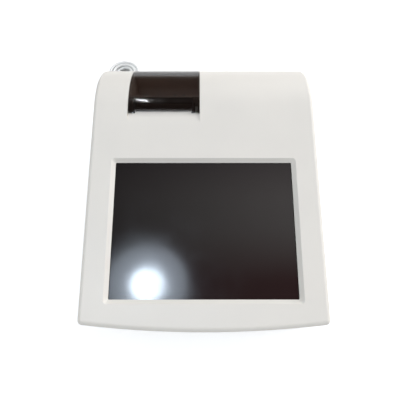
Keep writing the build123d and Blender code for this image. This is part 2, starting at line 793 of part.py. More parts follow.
def cheek_plane(place):
    """A screw's seat on the outer face of a cheek; place is its X, its direction along X, and its u and n."""
    x, way, (u, n) = place
    return Plane(origin=world(u, n, x), x_dir=(0, cu, su), z_dir=(way, 0, 0))


save(screws([(x, way, at) for x, way in cheek_ends for at in frame_bosses], cheek_plane,
            screw_head_radius, screw_head_height, screw_radius, cheek_thickness + gap + 3.0), "frame_screws")

# Drawer for the test cartridge, with a pocket, a finger notch and a rack along its right side
rack_x = tray_width / 2
rack_pitch = pi * rack_module
pinion_radius = pinion_teeth * rack_module / 2
pinion_x = rack_x + 1.2 * rack_module + pinion_radius
pinion_y = chassis_front + 36.0
rack_first = round(-4.0 / rack_pitch)
rack_last = round((tray_travel + 5.0) / rack_pitch)

with BuildPart() as cartridge_tray:
    with BuildSketch(Plane.XY.offset(tray_low)):
        with Locations((0, front_y)):
            Rectangle(tray_width, tray_front + tray_length - front_y, align=(Align.CENTER, Align.MIN))
            Rectangle(front_width, tray_front + front_depth - front_y, align=(Align.CENTER, Align.MIN))
    extrude(amount=tray_height)
    with BuildSketch(Plane.XY.offset(tray_low)):
        with Locations((rack_x, pinion_y + rack_first * rack_pitch)):
            Rectangle(rack_back, (rack_last - rack_first) * rack_pitch, align=(Align.MIN, Align.MIN))
        for k in range(rack_first, rack_last + 1):
            with Locations((rack_x, pinion_y + k * rack_pitch)):
                Polygon((-rack_back, -tooth_root * rack_pitch), (rack_depth, -tooth_tip * rack_pitch),
                        (rack_depth, tooth_tip * rack_pitch), (-rack_back, tooth_root * rack_pitch), align=None)
    extrude(amount=rack_height)
    add(outer_form, mode=Mode.INTERSECT)
    with BuildSketch(Plane.XY.offset(tray_low + tray_height)):
        with Locations((0, tray_front + pocket_start)):
            Rectangle(pocket_width, pocket_length, align=(Align.CENTER, Align.MIN))
        fillet(vertices(), radius=2.0)
    extrude(amount=-pocket_depth, mode=Mode.SUBTRACT)
    with BuildSketch(Plane.XY.offset(tray_low)):
        with Locations((0, tray_front - 6.0)):
            SlotOverall(20.0, 11.0)
    extrude(amount=3.0, mode=Mode.SUBTRACT)
save(cartridge_tray, "cartridge_tray")

with BuildPart() as tray_pinion:
    with BuildSketch(Plane.XY.offset(chassis_floor + chassis_wall + gap)):
        with Locations((pinion_x, pinion_y)):
            Polygon(*gear_outline(pinion_teeth, rack_module, 180 - 180 / pinion_teeth), align=None)
    extrude(amount=rack_height)
    with BuildSketch(Plane.XY.offset(chassis_floor + chassis_wall + gap + rack_height)):
        with Locations((pinion_x, pinion_y)):
            Circle(1.5)
    extrude(amount=tray_low + tray_height + 8.0 - chassis_floor - chassis_wall - gap - rack_height)
save(tray_pinion, "tray_pinion")

deck_top = tray_low + tray_height + 2.0
shelf_top = deck_top + 1.5
right_wall = rack_x + rack_depth + slide_gap
left_wall = -rack_x - slide_gap
shelf_front = pinion_y - tray_motor_radius
optics_front = tray_front + optics_start
optics_mid = optics_front + optics_length / 2
shelf_rear = optics_front + optics_length + 2.0

with BuildPart() as reader_chassis:
    with BuildSketch(Plane.XY.offset(chassis_floor)):
        with Locations((0, chassis_front)):
            Rectangle(2 * chassis_half, chassis_length, align=(Align.CENTER, Align.MIN))
        with Locations(chassis_posts):
            Circle(screw_radius + gap, mode=Mode.SUBTRACT)
    extrude(amount=chassis_wall)
    for x in (left_wall - chassis_wall, right_wall):
        with BuildSketch(Plane.XY.offset(chassis_floor)):
            with Locations((x, chassis_front)):
                Rectangle(chassis_wall, chassis_length, align=(Align.MIN, Align.MIN))
        extrude(amount=deck_top - chassis_floor)
    with BuildSketch(Plane.XY.offset(deck_top)):
        with Locations((left_wall - chassis_wall, shelf_front)):
            Rectangle(pinion_x + tray_motor_radius - left_wall + chassis_wall, shelf_rear - shelf_front,
                      align=(Align.MIN, Align.MIN))
        with Locations((0, optics_mid)):
            Circle(lens_radius, mode=Mode.SUBTRACT)
        with Locations((pinion_x, pinion_y)):
            Circle(2.2, mode=Mode.SUBTRACT)
    extrude(amount=shelf_top - deck_top)
    with BuildSketch(Plane.XY.offset(chassis_floor + chassis_wall)):
        with Locations((right_wall - 1, pinion_y)):
            Rectangle(chassis_wall + 2, 2 * pinion_radius + 3.0, align=(Align.MIN, Align.CENTER))
    extrude(amount=rack_height + 2 * gap, mode=Mode.SUBTRACT)
save(reader_chassis, "reader_chassis")

chassis_seat = chassis_floor + chassis_wall
save(screws(chassis_posts, lambda p: Plane(origin=(p[0], p[1], chassis_seat), z_dir=(0, 0, -1)),
            screw_head_radius, screw_head_height, screw_radius, chassis_seat - floor_top - 1.0),
     "chassis_screws")

with BuildPart() as tray_motor:
    with BuildSketch(Plane.XY.offset(shelf_top)):
        with Locations((pinion_x, pinion_y)):
            Circle(tray_motor_radius)
    extrude(amount=tray_motor_length)
    with BuildSketch(Plane.XY.offset(shelf_top)):
        with Locations((pinion_x, pinion_y)):
            Circle(1.5 + run_gap)
    extrude(amount=6.0, mode=Mode.SUBTRACT)
    chamfer(faces().sort_by(Axis.Z)[-1].edges(), length=0.8)
save(tray_motor, "tray_motor")

with BuildPart() as optics_block:
    with BuildSketch(Plane.XY.offset(shelf_top)):
        with Locations((0, optics_mid)):
            RectangleRounded(optics_width, optics_length, 2.0)
    extrude(amount=optics_height)
    with BuildSketch(Plane.XY.offset(shelf_top)):
        with Locations((0, optics_mid)):
            Circle(lens_radius)
    extrude(amount=optics_height, mode=Mode.SUBTRACT)
    with BuildSketch(Plane.XZ.offset(-optics_front)):
        with Locations((0, shelf_top + optics_height - 6.0)):
            Circle(2.5 + fix_gap)
    extrude(amount=-optics_length / 2, mode=Mode.SUBTRACT)
save(optics_block, "optics_block")

lens_thickness = 4.4
lens_curve = 12.0
lens_z = shelf_top + 1.0 + lens_thickness / 2
with BuildPart() as objective_lens:
    with Locations((0, optics_mid, lens_z)):
        Cylinder(lens_radius - fix_gap, lens_thickness)
    for way in (-1, 1):
        with Locations((0, optics_mid, lens_z + way * (lens_curve - lens_thickness / 2))):
            Sphere(lens_curve, mode=Mode.INTERSECT)
save(objective_lens, "objective_lens")

with BuildPart() as emission_filter:
    with BuildSketch(Plane.XY.offset(shelf_top + optics_height - 2.0)):
        with Locations((0, optics_mid)):
            Circle(lens_radius - fix_gap)
    extrude(amount=1.6)
save(emission_filter, "emission_filter")

with BuildPart() as excitation_led:
    with BuildSketch(Plane.XZ.offset(-optics_front + 1.0)):
        with Locations((0, shelf_top + optics_height - 6.0)):
            Circle(2.5)
    extrude(amount=-8.0)
    fillet(faces().sort_by(Axis.Y)[-1].edges(), radius=1.5)
    with BuildSketch(Plane.XZ.offset(-optics_front + 1.0)):
        with Locations((0, shelf_top + optics_height - 6.0)):
            Circle(3.2)
    extrude(amount=-0.98)
save(excitation_led, "excitation_led")

with BuildPart() as detector_board:
    with BuildSketch(Plane.XY.offset(shelf_top + optics_height)):
        with Locations((0, optics_mid)):
            Rectangle(optics_width - 4, optics_length - 6)
    extrude(amount=board_thickness)
    with BuildSketch(Plane.XY.offset(shelf_top + optics_height + board_thickness)):
        with Locations((-6, optics_mid - 8), (7, optics_mid + 8)):
            Rectangle(9, 7)
        with Locations((0, optics_mid)):
            Circle(4.2)
    extrude(amount=1.4)
save(detector_board, "detector_board")

with BuildPart() as home_sensor:
    with BuildSketch(Plane.XY.offset(chassis_floor + chassis_wall)):
        with Locations((0, tray_front + tray_length + gap)):
            Rectangle(12, 6, align=(Align.CENTER, Align.MIN))
    extrude(amount=6.0)
    with BuildSketch(Plane.XY.offset(chassis_floor + chassis_wall + 2.5)):
        with Locations((0, tray_front + tray_length + gap)):
            Rectangle(4, 3, align=(Align.CENTER, Align.MIN))
    extrude(amount=4.0, mode=Mode.SUBTRACT)
save(home_sensor, "home_sensor")

# Main board with its parts, sockets and the rear panel round them
board_top = board_height + board_thickness
usb_x = (-32.0, -13.0)
network_x = -52.0
jack_x = -70.0
switch_x = 74.0
usb_size = (14.4, 7.0, 16.0)
network_size = (16.0, 13.4, 18.0)
jack_size = (9.0, 11.0, 14.0)
switch_size = (13.6, 21.0, 19.0)
switch_z = (panel_low + panel_high) / 2
shell = 0.8

with BuildPart() as main_board:
    with BuildSketch(Plane.XY.offset(board_height)):
        with Locations((0, board_mid)):
            RectangleRounded(board_width, board_length, 2.0)
        with Locations(board_posts):
            Circle(screw_radius + gap, mode=Mode.SUBTRACT)
    extrude(amount=board_thickness)
save(main_board, "main_board")

save(screws(board_posts, lambda p: Plane(origin=(p[0], p[1], board_top), z_dir=(0, 0, -1)),
            screw_head_radius, screw_head_height, screw_radius, board_top - floor_top - 1.0), "board_screws")

ribbon_x = 24.0
ribbon_width = 20.0
ribbon_end = board_mid - board_length / 2 + 8.0
with BuildPart() as board_parts:
    for (x, y), (w, l), h in (((-10, board_mid + 6), (22, 22), 2.2),
                              ((22, board_mid + 4), (14, 10), 1.4),
                              ((-38, board_mid + 8), (16, 12), 1.6),
                              ((48, board_mid - 26), (10, 10), 4.0),
                              ((ribbon_x, ribbon_end), (ribbon_width + 4, 5), 2.6),
                              ((-48, board_mid - 24), (30, 5), 6.0)):
        with BuildSketch(Plane.XY.offset(board_top)):
            with Locations((x, y)):
                Rectangle(w, l)
        extrude(amount=h)
    with BuildSketch(Plane.XY.offset(board_top)):
        with Locations([(-58 + 10 * k, board_mid + 14) for k in range(2)]):
            Circle(3.5)
    extrude(amount=9.0)
save(board_parts, "board_parts")


def socket(centre_x, low, size, hollow, tongue):
    """A socket's shell, open to the rear: its size across, up and along, its hollow and any tongue inside."""
    width, height, length = size
    with BuildPart() as body:
        with BuildSketch(Plane.XZ.offset(-panel_face - 0.2)):
            with Locations((centre_x, low)):
                Rectangle(width, height, align=(Align.CENTER, Align.MIN))
        extrude(amount=length)
        with BuildSketch(Plane.XZ.offset(-panel_face - 0.2)):
            with Locations((centre_x, low + height / 2)):
                Rectangle(width - 2 * shell, height - 2 * shell)
        extrude(amount=hollow, mode=Mode.SUBTRACT)
        with BuildSketch(Plane.XZ.offset(-panel_face + 1.0)):
            with Locations((centre_x, low + height / 2 + tongue[2])):
                Rectangle(tongue[0], tongue[1])
        extrude(amount=hollow)
    return body.part


with BuildPart() as usb_ports:
    for x in usb_x:
        add(socket(x, board_top, usb_size, 12.0, (11.0, 1.8, 1.0)))
save(usb_ports, "usb_ports")

with BuildPart() as network_port:
    add(socket(network_x, board_top, network_size, 13.0, (8.0, 1.2, 5.0)))
save(network_port, "network_port")

jack_z = board_top + jack_size[1] / 2
with BuildPart() as power_jack:
    with BuildSketch(Plane.XZ.offset(-panel_face - 0.2)):
        with Locations((jack_x, jack_z)):
            Rectangle(jack_size[0], jack_size[1])
            Circle(3.2, mode=Mode.SUBTRACT)
            Circle(1.0)
    extrude(amount=jack_size[2] - 2)
    with BuildSketch(Plane.XZ.offset(-panel_face - 0.2 + jack_size[2] - 2)):
        with Locations((jack_x, jack_z)):
            Rectangle(jack_size[0], jack_size[1])
    extrude(amount=2)
save(power_jack, "power_jack")

rocker_half = (5.4, 8.2)
rocker_tilt = 7.0
rocker_face = 4.4
rocker_back = 3.0
rocker_y = panel_face - 3.0
with BuildPart() as switch_body:
    with BuildSketch(Plane.XZ.offset(-panel_face)):
        with Locations((switch_x, switch_z)):
            Rectangle(switch_size[0], switch_size[1])
    extrude(amount=switch_size[2])
    with BuildSketch(Plane.XZ.offset(-panel_face)):
        with Locations((switch_x, switch_z)):
            RectangleRounded(switch_size[0] + 3, switch_size[1] + 3, 1.0)
    extrude(amount=-1.6)
    with BuildSketch(Plane.XZ.offset(-panel_face - 1.6)):
        with Locations((switch_x, switch_z)):
            Rectangle(2 * rocker_half[0] + 0.8, 2 * rocker_half[1] + 1.2)
    extrude(amount=9.0, mode=Mode.SUBTRACT)
    with BuildSketch(Plane.YZ.offset(switch_x)):
        with Locations((rocker_y, switch_z)):
            Circle(1.2 + run_gap)
    extrude(amount=rocker_half[0] + 1.0, both=True, mode=Mode.SUBTRACT)
save(switch_body, "switch_body")

with BuildPart() as power_rocker:
    with BuildSketch(Plane(origin=(switch_x, rocker_y, switch_z), z_dir=(1, 0, 0),
                           x_dir=(0, cos(radians(rocker_tilt)), sin(radians(rocker_tilt))))):
        with BuildLine():
            Polyline((rocker_face, -rocker_half[1]), (-rocker_back, -rocker_half[1] + 1.6),
                     (-rocker_back, rocker_half[1] - 1.6), (rocker_face, rocker_half[1]))
            ThreePointArc((rocker_face, rocker_half[1]), (rocker_face - 1.6, 0), (rocker_face, -rocker_half[1]))
        make_face()
    extrude(amount=rocker_half[0], both=True)
    with BuildSketch(Plane.YZ.offset(switch_x)):
        with Locations((rocker_y, switch_z)):
            Circle(1.2)
    extrude(amount=rocker_half[0] + 0.9, both=True)
save(power_rocker, "power_rocker")

with BuildPart() as rear_panel:
    with BuildSketch(Plane.XZ.offset(-panel_face)):
        with Locations((0, (panel_low + panel_high) / 2)):
            Rectangle(panel_width + 2 * panel_flange, panel_high - panel_low + 2 * panel_flange)
    extrude(amount=panel_thickness)
    with BuildSketch(Plane.XZ.offset(-panel_face)):
        for x in usb_x:
            with Locations((x, board_top + usb_size[1] / 2)):
                Rectangle(usb_size[0] + 2 * gap, usb_size[1] + 2 * gap)
        with Locations((network_x, board_top + network_size[1] / 2)):
            Rectangle(network_size[0] + 2 * gap, network_size[1] + 2 * gap)
        with Locations((jack_x, jack_z)):
            Rectangle(jack_size[0] + 2 * gap, jack_size[1] + 2 * gap)
        with Locations((switch_x, switch_z)):
            Rectangle(switch_size[0] + 2 * fix_gap, switch_size[1] + 2 * fix_gap)
        with Locations((10, panel_high - 10.0)):
            with GridLocations(5, 0, 12, 1):
                SlotOverall(12, 2.2, rotation=90)
    extrude(amount=panel_thickness, mode=Mode.SUBTRACT)
save(rear_panel, "rear_panel")

with BuildPart() as display_ribbon:
    with BuildSketch(Plane.YZ.offset(ribbon_x - ribbon_width / 2)):
        with BuildLine():
            start = world(screen_length - 13.0, -bracket_depth)[1:]
            mouth = (ribbon_end, board_top + 2.6)
            FilletPolyline(start, (start[0] + 2.0, start[1] - 14.0), (mouth[0] - 16.0, mouth[1] + 20.0),
                           (mouth[0] - 1.0, mouth[1] + 8.0), mouth, radius=2.5)
        trace(line_width=0.3)
    extrude(amount=ribbon_width)
    with BuildSketch(deck(bracket_depth - 0.6)):
        with Locations((0, screen_mid)):
            Rectangle(module_width, module_length)
    extrude(amount=5.0, mode=Mode.SUBTRACT)
    with BuildSketch(Plane.XY.offset(board_top + 2.6)):
        with Locations((ribbon_x, ribbon_end)):
            Rectangle(2 * ribbon_width, 20)
    extrude(amount=-5.0, mode=Mode.SUBTRACT)
save(display_ribbon, "display_ribbon")

with BuildPart() as speaker:
    with BuildSketch(Plane.XY.offset(floor_top)):
        with Locations((-66, -20)):
            Circle(14)
    extrude(amount=2.0)
    with BuildSketch(Plane.XY.offset(floor_top + 2.0)):
        with Locations((-66, -20)):
            Circle(8)
    extrude(amount=4.0)
save(speaker, "speaker")

# Power lead: plug and strain relief, a stretch to the coil, the coil with its tie, and a tail to the adapter
lead_radius = 1.75
lead_pitch = 4.6
coil_x = -106.0
coil_behind = 61.0
coil_radius = 20.0
coil_layers = 4
layer_turns = 2.0
climb_turns = 0.5
last_turns = 2.25
tie_thickness = 0.6
tie_width = 7.0
tie_angle = 200.0
plug_radius = 4.4
plug_length = 12.0
relief_length = 12.0
relief_root = 3.2
relief_tip = 2.3
adapter_size = (56.0, 28.0, 42.0)
adapter_left = 4.0
adapter_behind = 6.3
adapter_entry = 9.0
pin_spread = 19.0
blade_radius = 2.0
blade_length = 16.0
coil_y = rear_y + coil_behind
adapter_front = rear_y + adapter_behind
lead_low = lead_radius + tie_thickness + fix_gap
coil_top = lead_low + (coil_layers - 1) * lead_pitch
plug_start = panel_face + 0.2 + gap
plug_end = plug_start + plug_length
lead_start = plug_end + relief_length
coil_turns = (coil_layers - 1) * (layer_turns + climb_turns) + last_turns


def coil_point(t):
    """The lead's centre line in the coil, this many turns after it comes in at the top."""
    stage = layer_turns + climb_turns
    layer = min(int(t / stage), coil_layers - 1)
    along = t - layer * stage
    last = layer == coil_layers - 1
    wound = along if last else min(along, layer_turns)
    inner = coil_radius - layer_turns * lead_pitch
    radius = coil_radius - wound * lead_pitch if layer % 2 == 0 else inner + wound * lead_pitch
    climb = 0 if last else max(0.0, along - layer_turns) / climb_turns
    z = coil_top - (layer + (1 - cos(pi * climb)) / 2) * lead_pitch
    return Vector(coil_x + radius * cos(2 * pi * t), coil_y + radius * sin(2 * pi * t), z)


def biarc(start, start_way, end, end_way):
    """Two arcs that join two points with the given directions at them."""
    chord = end - start
    both = start_way + end_way
    spread = 2 * (1 - start_way.dot(end_way))
    along = chord.dot(both)
    reach = (sqrt(along ** 2 + spread * chord.dot(chord)) - along) / spread
    first, second = start + start_way * reach, end - end_way * reach
    middle = (first + second) / 2
    TangentArc(start, middle, tangent=start_way)
    TangentArc(middle, end, tangent=(second - first).normalized())


quarters = round(coil_turns * 4)
coil_points = [coil_point(k / 4) for k in range(quarters + 1)]
coil_ways = [(coil_point(k / 4 + 0.01) - coil_point(k / 4 - 0.01)).normalized() for k in range(1, quarters)]
coil_ways = [Vector(0, 1, 0)] + coil_ways + [Vector(1, 0, 0)]

with BuildPart() as lead_coil:
    with BuildLine() as turns:
        Line(coil_points[0] - coil_ways[0] * 2 * lead_radius, coil_points[0])
        for k in range(quarters):
            biarc(coil_points[k], coil_ways[k], coil_points[k + 1], coil_ways[k + 1])
        Line(coil_points[-1], coil_points[-1] + coil_ways[-1] * 2 * lead_radius)
    with BuildSketch(Plane(origin=coil_points[0] - coil_ways[0] * 2 * lead_radius, z_dir=coil_ways[0])):
        Circle(lead_radius)
    sweep(path=turns.line)
save(lead_coil, "lead_coil")
fine = [coil_point(k / 60) for k in range(int(coil_turns * 60) + 1)]
least = min((a - b).length for i, a in enumerate(fine) for b in fine[i + 30:])
coil_length = sum(edge.length for edge in turns.edges())
print("coil: length", round(coil_length, 1), "least gap", round(least - 2 * lead_radius, 2),
      "volume share", round(lead_coil.part.volume / (pi * lead_radius ** 2 * coil_length), 4))


def lead_tube(points, name):
    """A stretch of the lead along a route of straight runs joined by arcs as large as the runs allow."""
    path = [Vector(*p) for p in points]
    radii = []
    for before, at, after in zip(path, path[1:], path[2:]):
        turned = (at - before).get_angle(after - at)
        run = min((at - before).length, (after - at).length)
        radii.append(0.45 * run / tan(radians(turned / 2)))
    with BuildPart() as tube:
        with BuildLine() as route:
            FilletPolyline(*path, radius=radii)
        with BuildSketch(Plane(origin=path[0], z_dir=path[1] - path[0])):
            Circle(lead_radius)
        sweep(path=route.line)
    length = sum(edge.length for edge in route.edges())
    print(name, "length", round(length, 1), "radii", [round(r, 1) for r in radii],
          "volume share", round(tube.part.volume / (pi * lead_radius ** 2 * length), 4))
    save(tube, name)


coil_in = coil_points[0] - coil_ways[0] * 2 * lead_radius
coil_out = coil_points[-1] + coil_ways[-1] * 2 * lead_radius
lead_tube([(jack_x, lead_start, jack_z), (jack_x, lead_start + 7.2, jack_z),
           (jack_x - 3.8, lead_start + 14.4, jack_z - 0.5), (jack_x - 12.0, lead_start + 21.6, jack_z - 2.1),
           (coil_in.X, coil_in.Y - 6.8, coil_in.Z), (coil_in.X, coil_in.Y, coil_in.Z)], "lead_run")
tail_entry = (adapter_left - relief_length, adapter_front + adapter_size[1] / 2, adapter_entry)
tail_y = tail_entry[1]
lead_tube([(coil_out.X, coil_out.Y, coil_out.Z), (coil_out.X + 11.5, coil_out.Y, coil_out.Z),
           (coil_out.X + 23.5, tail_y + 16.6, 2.0), (coil_out.X + 35.5, tail_y + 11.6, 1.9),
           (coil_out.X + 47.5, tail_y + 6.4, 2.0), (coil_out.X + 59.5, tail_y + 2.4, 3.0),
           (tail_entry[0] - 23.0, tail_y + 0.6, 6.4), (tail_entry[0] - 12.0, tail_y, adapter_entry), tail_entry],
          "lead_tail")

with BuildPart() as lead_plug:
    with BuildSketch(Plane.XZ.offset(-plug_start)):
        with Locations((jack_x, jack_z)):
            Circle(plug_radius)
    extrude(amount=-plug_length)
    chamfer(edges().filter_by(GeomType.CIRCLE).group_by(Axis.Y)[-1], length=0.8)
    with BuildSketch(Plane.XZ.offset(-plug_start)):
        with Locations((jack_x, jack_z)):
            Circle(2.75)
            Circle(1.25, mode=Mode.SUBTRACT)
    extrude(amount=8.0)
save(lead_plug, "lead_plug")


def relief(start, way, name):
    """A tapered strain relief from this point along this direction."""
    with BuildPart() as cone:
        with BuildSketch(Plane(origin=start, z_dir=way)):
            Circle(relief_root)
        with BuildSketch(Plane(origin=start, z_dir=way).offset(relief_length)):
            Circle(relief_tip)
        loft(ruled=True)
    save(cone, name)


relief((jack_x, plug_end, jack_z), (0, 1, 0), "lead_relief")
relief((adapter_left, tail_entry[1], adapter_entry), (-1, 0, 0), "adapter_relief")

with BuildPart() as coil_tie:
    inside = coil_radius - layer_turns * lead_pitch - lead_radius - 0.7
    outside = coil_radius + lead_pitch / 4 + lead_radius + 0.7
    angle = radians(tie_angle)
    with BuildSketch(Plane(origin=(coil_x, coil_y, 0), x_dir=(cos(angle), sin(angle), 0),
                           z_dir=(sin(angle), -cos(angle), 0))):
        with Locations((inside - tie_thickness, fix_gap / 2)):
            Rectangle(outside - inside + 2 * tie_thickness, coil_top + lead_radius + 2 * tie_thickness,
                      align=(Align.MIN, Align.MIN))
        with Locations((inside, tie_thickness + fix_gap / 2)):
            Rectangle(outside - inside, coil_top + lead_radius, align=(Align.MIN, Align.MIN), mode=Mode.SUBTRACT)
    extrude(amount=tie_width / 2, both=True)
save(coil_tie, "coil_tie")

with BuildPart() as power_adapter:
    with BuildSketch(Plane.XY):
        with Locations((adapter_left, adapter_front)):
            RectangleRounded(adapter_size[0], adapter_size[1], 4.0, align=(Align.MIN, Align.MIN))
    extrude(amount=adapter_size[2])
    fillet(faces().sort_by(Axis.Z)[-1].edges(), radius=2.0)
save(power_adapter, "power_adapter")

with BuildPart() as adapter_pins:
    with BuildSketch(Plane.XZ.offset(-adapter_front - adapter_size[1])):
        with Locations([(adapter_left + adapter_size[0] / 2 + x, adapter_size[2] / 2)
                        for x in (-pin_spread / 2, pin_spread / 2)]):
            Circle(blade_radius)
    extrude(amount=-blade_length)
    fillet(faces().sort_by(Axis.Y)[-2:].edges(), radius=1.2)
save(adapter_pins, "adapter_pins")
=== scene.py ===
"""Bench fluorescence analyzer for animal samples: finishes, fittings and power lead over the fixed frame."""

import logging
import math
from dataclasses import dataclass, field
from enum import Enum

import bmesh
import bpy
from mathutils import Matrix, Vector


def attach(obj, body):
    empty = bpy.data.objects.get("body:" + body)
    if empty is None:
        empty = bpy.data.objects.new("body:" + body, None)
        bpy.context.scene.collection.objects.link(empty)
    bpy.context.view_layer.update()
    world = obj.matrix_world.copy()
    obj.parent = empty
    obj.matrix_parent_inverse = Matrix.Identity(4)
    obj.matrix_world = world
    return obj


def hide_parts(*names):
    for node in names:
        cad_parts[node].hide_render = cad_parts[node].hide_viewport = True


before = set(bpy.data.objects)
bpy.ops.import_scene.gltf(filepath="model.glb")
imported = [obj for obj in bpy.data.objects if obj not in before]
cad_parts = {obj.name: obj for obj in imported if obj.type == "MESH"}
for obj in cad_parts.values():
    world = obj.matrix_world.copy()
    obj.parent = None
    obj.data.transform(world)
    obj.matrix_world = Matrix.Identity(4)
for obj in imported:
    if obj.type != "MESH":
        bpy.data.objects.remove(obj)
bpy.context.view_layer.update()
MM = 0.001
log = logging.getLogger("analyzer")

Colour = tuple[float, float, float]
Point = tuple[float, float, float]


class Body(Enum):
    """The rigid body that the added pieces ride on."""

    CASE = "case"


class Lay(Enum):
    """The way a pattern runs on a piece, as its stretch along X, Y and Z."""

    EVEN = (1.0, 1.0, 1.0)
    ACROSS = (0.04, 1.0, 1.0)
    ALONG = (1.0, 0.04, 1.0)


class LampForm(Enum):
    """The outline of a soft lamp."""

    RECTANGLE = "RECTANGLE"
    ELLIPSE = "ELLIPSE"


class Shade:
    """A material being made: one shader, its output and short calls for the nodes that feed it."""

    def __init__(self, name: str) -> None:
        """Starts an empty material with a Principled shader.

        Args:
            name: The finish's name.
        """
        self.material = bpy.data.materials.new(name)
        self.material.use_nodes = True
        self.tree = self.material.node_tree
        self.tree.nodes.clear()
        self.output = self.tree.nodes.new("ShaderNodeOutputMaterial")
        self.shader = self.tree.nodes.new("ShaderNodeBsdfPrincipled")
        self.tree.links.new(self.shader.outputs["BSDF"], self.output.inputs["Surface"])
        self.place = self.tree.nodes.new("ShaderNodeTexCoord").outputs["Object"]

    def set(self, **values: float | tuple[float, ...]) -> None:
        """Sets sockets of the shader; an underscore in a name stands for a space.

        Args:
            values: Socket names and their values.
        """
        for socket, value in values.items():
            self.shader.inputs[socket.replace("_", " ")].default_value = value

    def laid(self, lay: Lay) -> bpy.types.NodeSocket:
        """The piece's coordinates, stretched the way a pattern lies.

        Args:
            lay: The direction of the pattern.

        Returns:
            The coordinates' socket.
        """
        mapping = self.tree.nodes.new("ShaderNodeMapping")
        mapping.inputs["Scale"].default_value = lay.value
        self.tree.links.new(self.place, mapping.inputs["Vector"])
        return mapping.outputs["Vector"]

    def noise(self, scale: float, detail: float = 3.0, lay: Lay = Lay.EVEN) -> bpy.types.NodeSocket:
        """Cloudy noise with this many patches a metre.

        Args:
            scale: Patches per metre.
            detail: How fine its smallest part is.
            lay: The direction it is drawn out in.

        Returns:
            The noise's value.
        """
        node = self.tree.nodes.new("ShaderNodeTexNoise")
        node.inputs["Scale"].default_value = scale
        node.inputs["Detail"].default_value = detail
        self.tree.links.new(self.laid(lay), node.inputs["Vector"])
        return node.outputs["Fac"]

    def cells(self, scale: float) -> bpy.types.NodeSocket:
        """Cell pattern with this many cells a metre.

        Args:
            scale: Cells per metre.

        Returns:
            The pattern's value.
        """
        node = self.tree.nodes.new("ShaderNodeTexVoronoi")
        node.inputs["Scale"].default_value = scale
        self.tree.links.new(self.place, node.inputs["Vector"])
        return node.outputs["Distance"]

    def bands(self, scale: float, axis: str) -> bpy.types.NodeSocket:
        """Straight stripes across one axis.

        Args:
            scale: Stripe scale per metre.
            axis: The axis that the stripes follow one another along.

        Returns:
            The stripes' value.
        """
        node = self.tree.nodes.new("ShaderNodeTexWave")
        node.bands_direction = axis
        node.inputs["Scale"].default_value = scale
        self.tree.links.new(self.place, node.inputs["Vector"])
        return node.outputs["Fac"]

    def graded(self, value: bpy.types.NodeSocket, low: float, high: float, first: float | Colour,
               last: float | Colour) -> bpy.types.NodeSocket:
        """Maps a value to a number or a colour between two ends.

        Args:
            value: The value to map.
            low: The value that gives the first end.
            high: The value that gives the last end.
            first: The number or colour at the low end.
            last: The number or colour at the high end.

        Returns:
            The mapped number or colour.
        """
        if isinstance(first, float):
            node = self.tree.nodes.new("ShaderNodeMapRange")
            for socket, number in zip(("From Min", "From Max", "To Min", "To Max"), (low, high, first, last)):
                node.inputs[socket].default_value = number
            self.tree.links.new(value, node.inputs["Value"])
            return node.outputs["Result"]
        node = self.tree.nodes.new("ShaderNodeValToRGB")
        ends = node.color_ramp.elements
        ends[0].position, ends[1].position = low, high
        ends[0].color, ends[1].color = (*first, 1.0), (*last, 1.0)
        self.tree.links.new(value, node.inputs["Fac"])
        return node.outputs["Color"]

    def feed(self, value: bpy.types.NodeSocket, socket: str) -> None:
        """Lets a pattern drive one of the shader's sockets.

        Args:
            value: The pattern.
            socket: The socket's name.
        """
        self.tree.links.new(value, self.shader.inputs[socket])

    def raise_by(self, *heights: tuple[bpy.types.NodeSocket, float, float]) -> None:
        """Adds bumps to the surface, one over the other.

        Args:
            heights: For each bump its pattern, its strength and its height in metres.
        """
        under = None
        for value, strength, distance in heights:
            node = self.tree.nodes.new("ShaderNodeBump")
            node.inputs["Strength"].default_value = strength
            node.inputs["Distance"].default_value = distance
            self.tree.links.new(value, node.inputs["Height"])
            if under is not None:
                self.tree.links.new(under, node.inputs["Normal"])
            under = node.outputs["Normal"]
        self.tree.links.new(under, self.shader.inputs["Normal"])


@dataclass(frozen=True)
class MouldedPlastic:
    """Moulded plastic with a fine spark-eroded grain, faint clouding and handling marks."""

    name: str
    colour: Colour
    cloud: Colour
    roughness: float = 0.42
    grain: float = 2600.0
    relief: float = 0.10
    coat: float = 0.0

    def material(self) -> bpy.types.Material:
        """Builds the finish.

        Returns:
            The material.
        """
        shade = Shade(self.name)
        shade.set(IOR=1.49, Coat_Weight=self.coat, Coat_Roughness=0.12)
        clouds = shade.noise(14.0, 4.0)
        shade.feed(shade.graded(clouds, 0.35, 0.68, self.cloud, self.colour), "Base Color")
        marks = shade.noise(55.0, 6.0)
        shade.feed(shade.graded(marks, 0.3, 0.75, self.roughness - 0.05, self.roughness + 0.07), "Roughness")
        shade.raise_by((shade.noise(self.grain, 2.0), self.relief, 0.00006),
                       (shade.noise(90.0, 2.0), 0.03, 0.0004))
        return shade.material


@dataclass(frozen=True)
class Rubber:
    """Rubber or foam, dull and finely pitted, with pale dust in the pits."""

    name: str
    colour: Colour
    dust: Colour
    roughness: float = 0.82
    pitch: float = 900.0

    def material(self) -> bpy.types.Material:
        """Builds the finish.

        Returns:
            The material.
        """
        shade = Shade(self.name)
        shade.set(IOR=1.45, Specular_IOR_Level=0.3)
        shade.feed(shade.graded(shade.noise(60.0, 6.0), 0.5, 0.85, self.colour, self.dust), "Base Color")
        wear = shade.noise(200.0, 3.0)
        shade.feed(shade.graded(wear, 0.2, 0.8, self.roughness - 0.1, self.roughness + 0.08), "Roughness")
        shade.raise_by((shade.cells(self.pitch), 0.25, 0.0001))
        return shade.material


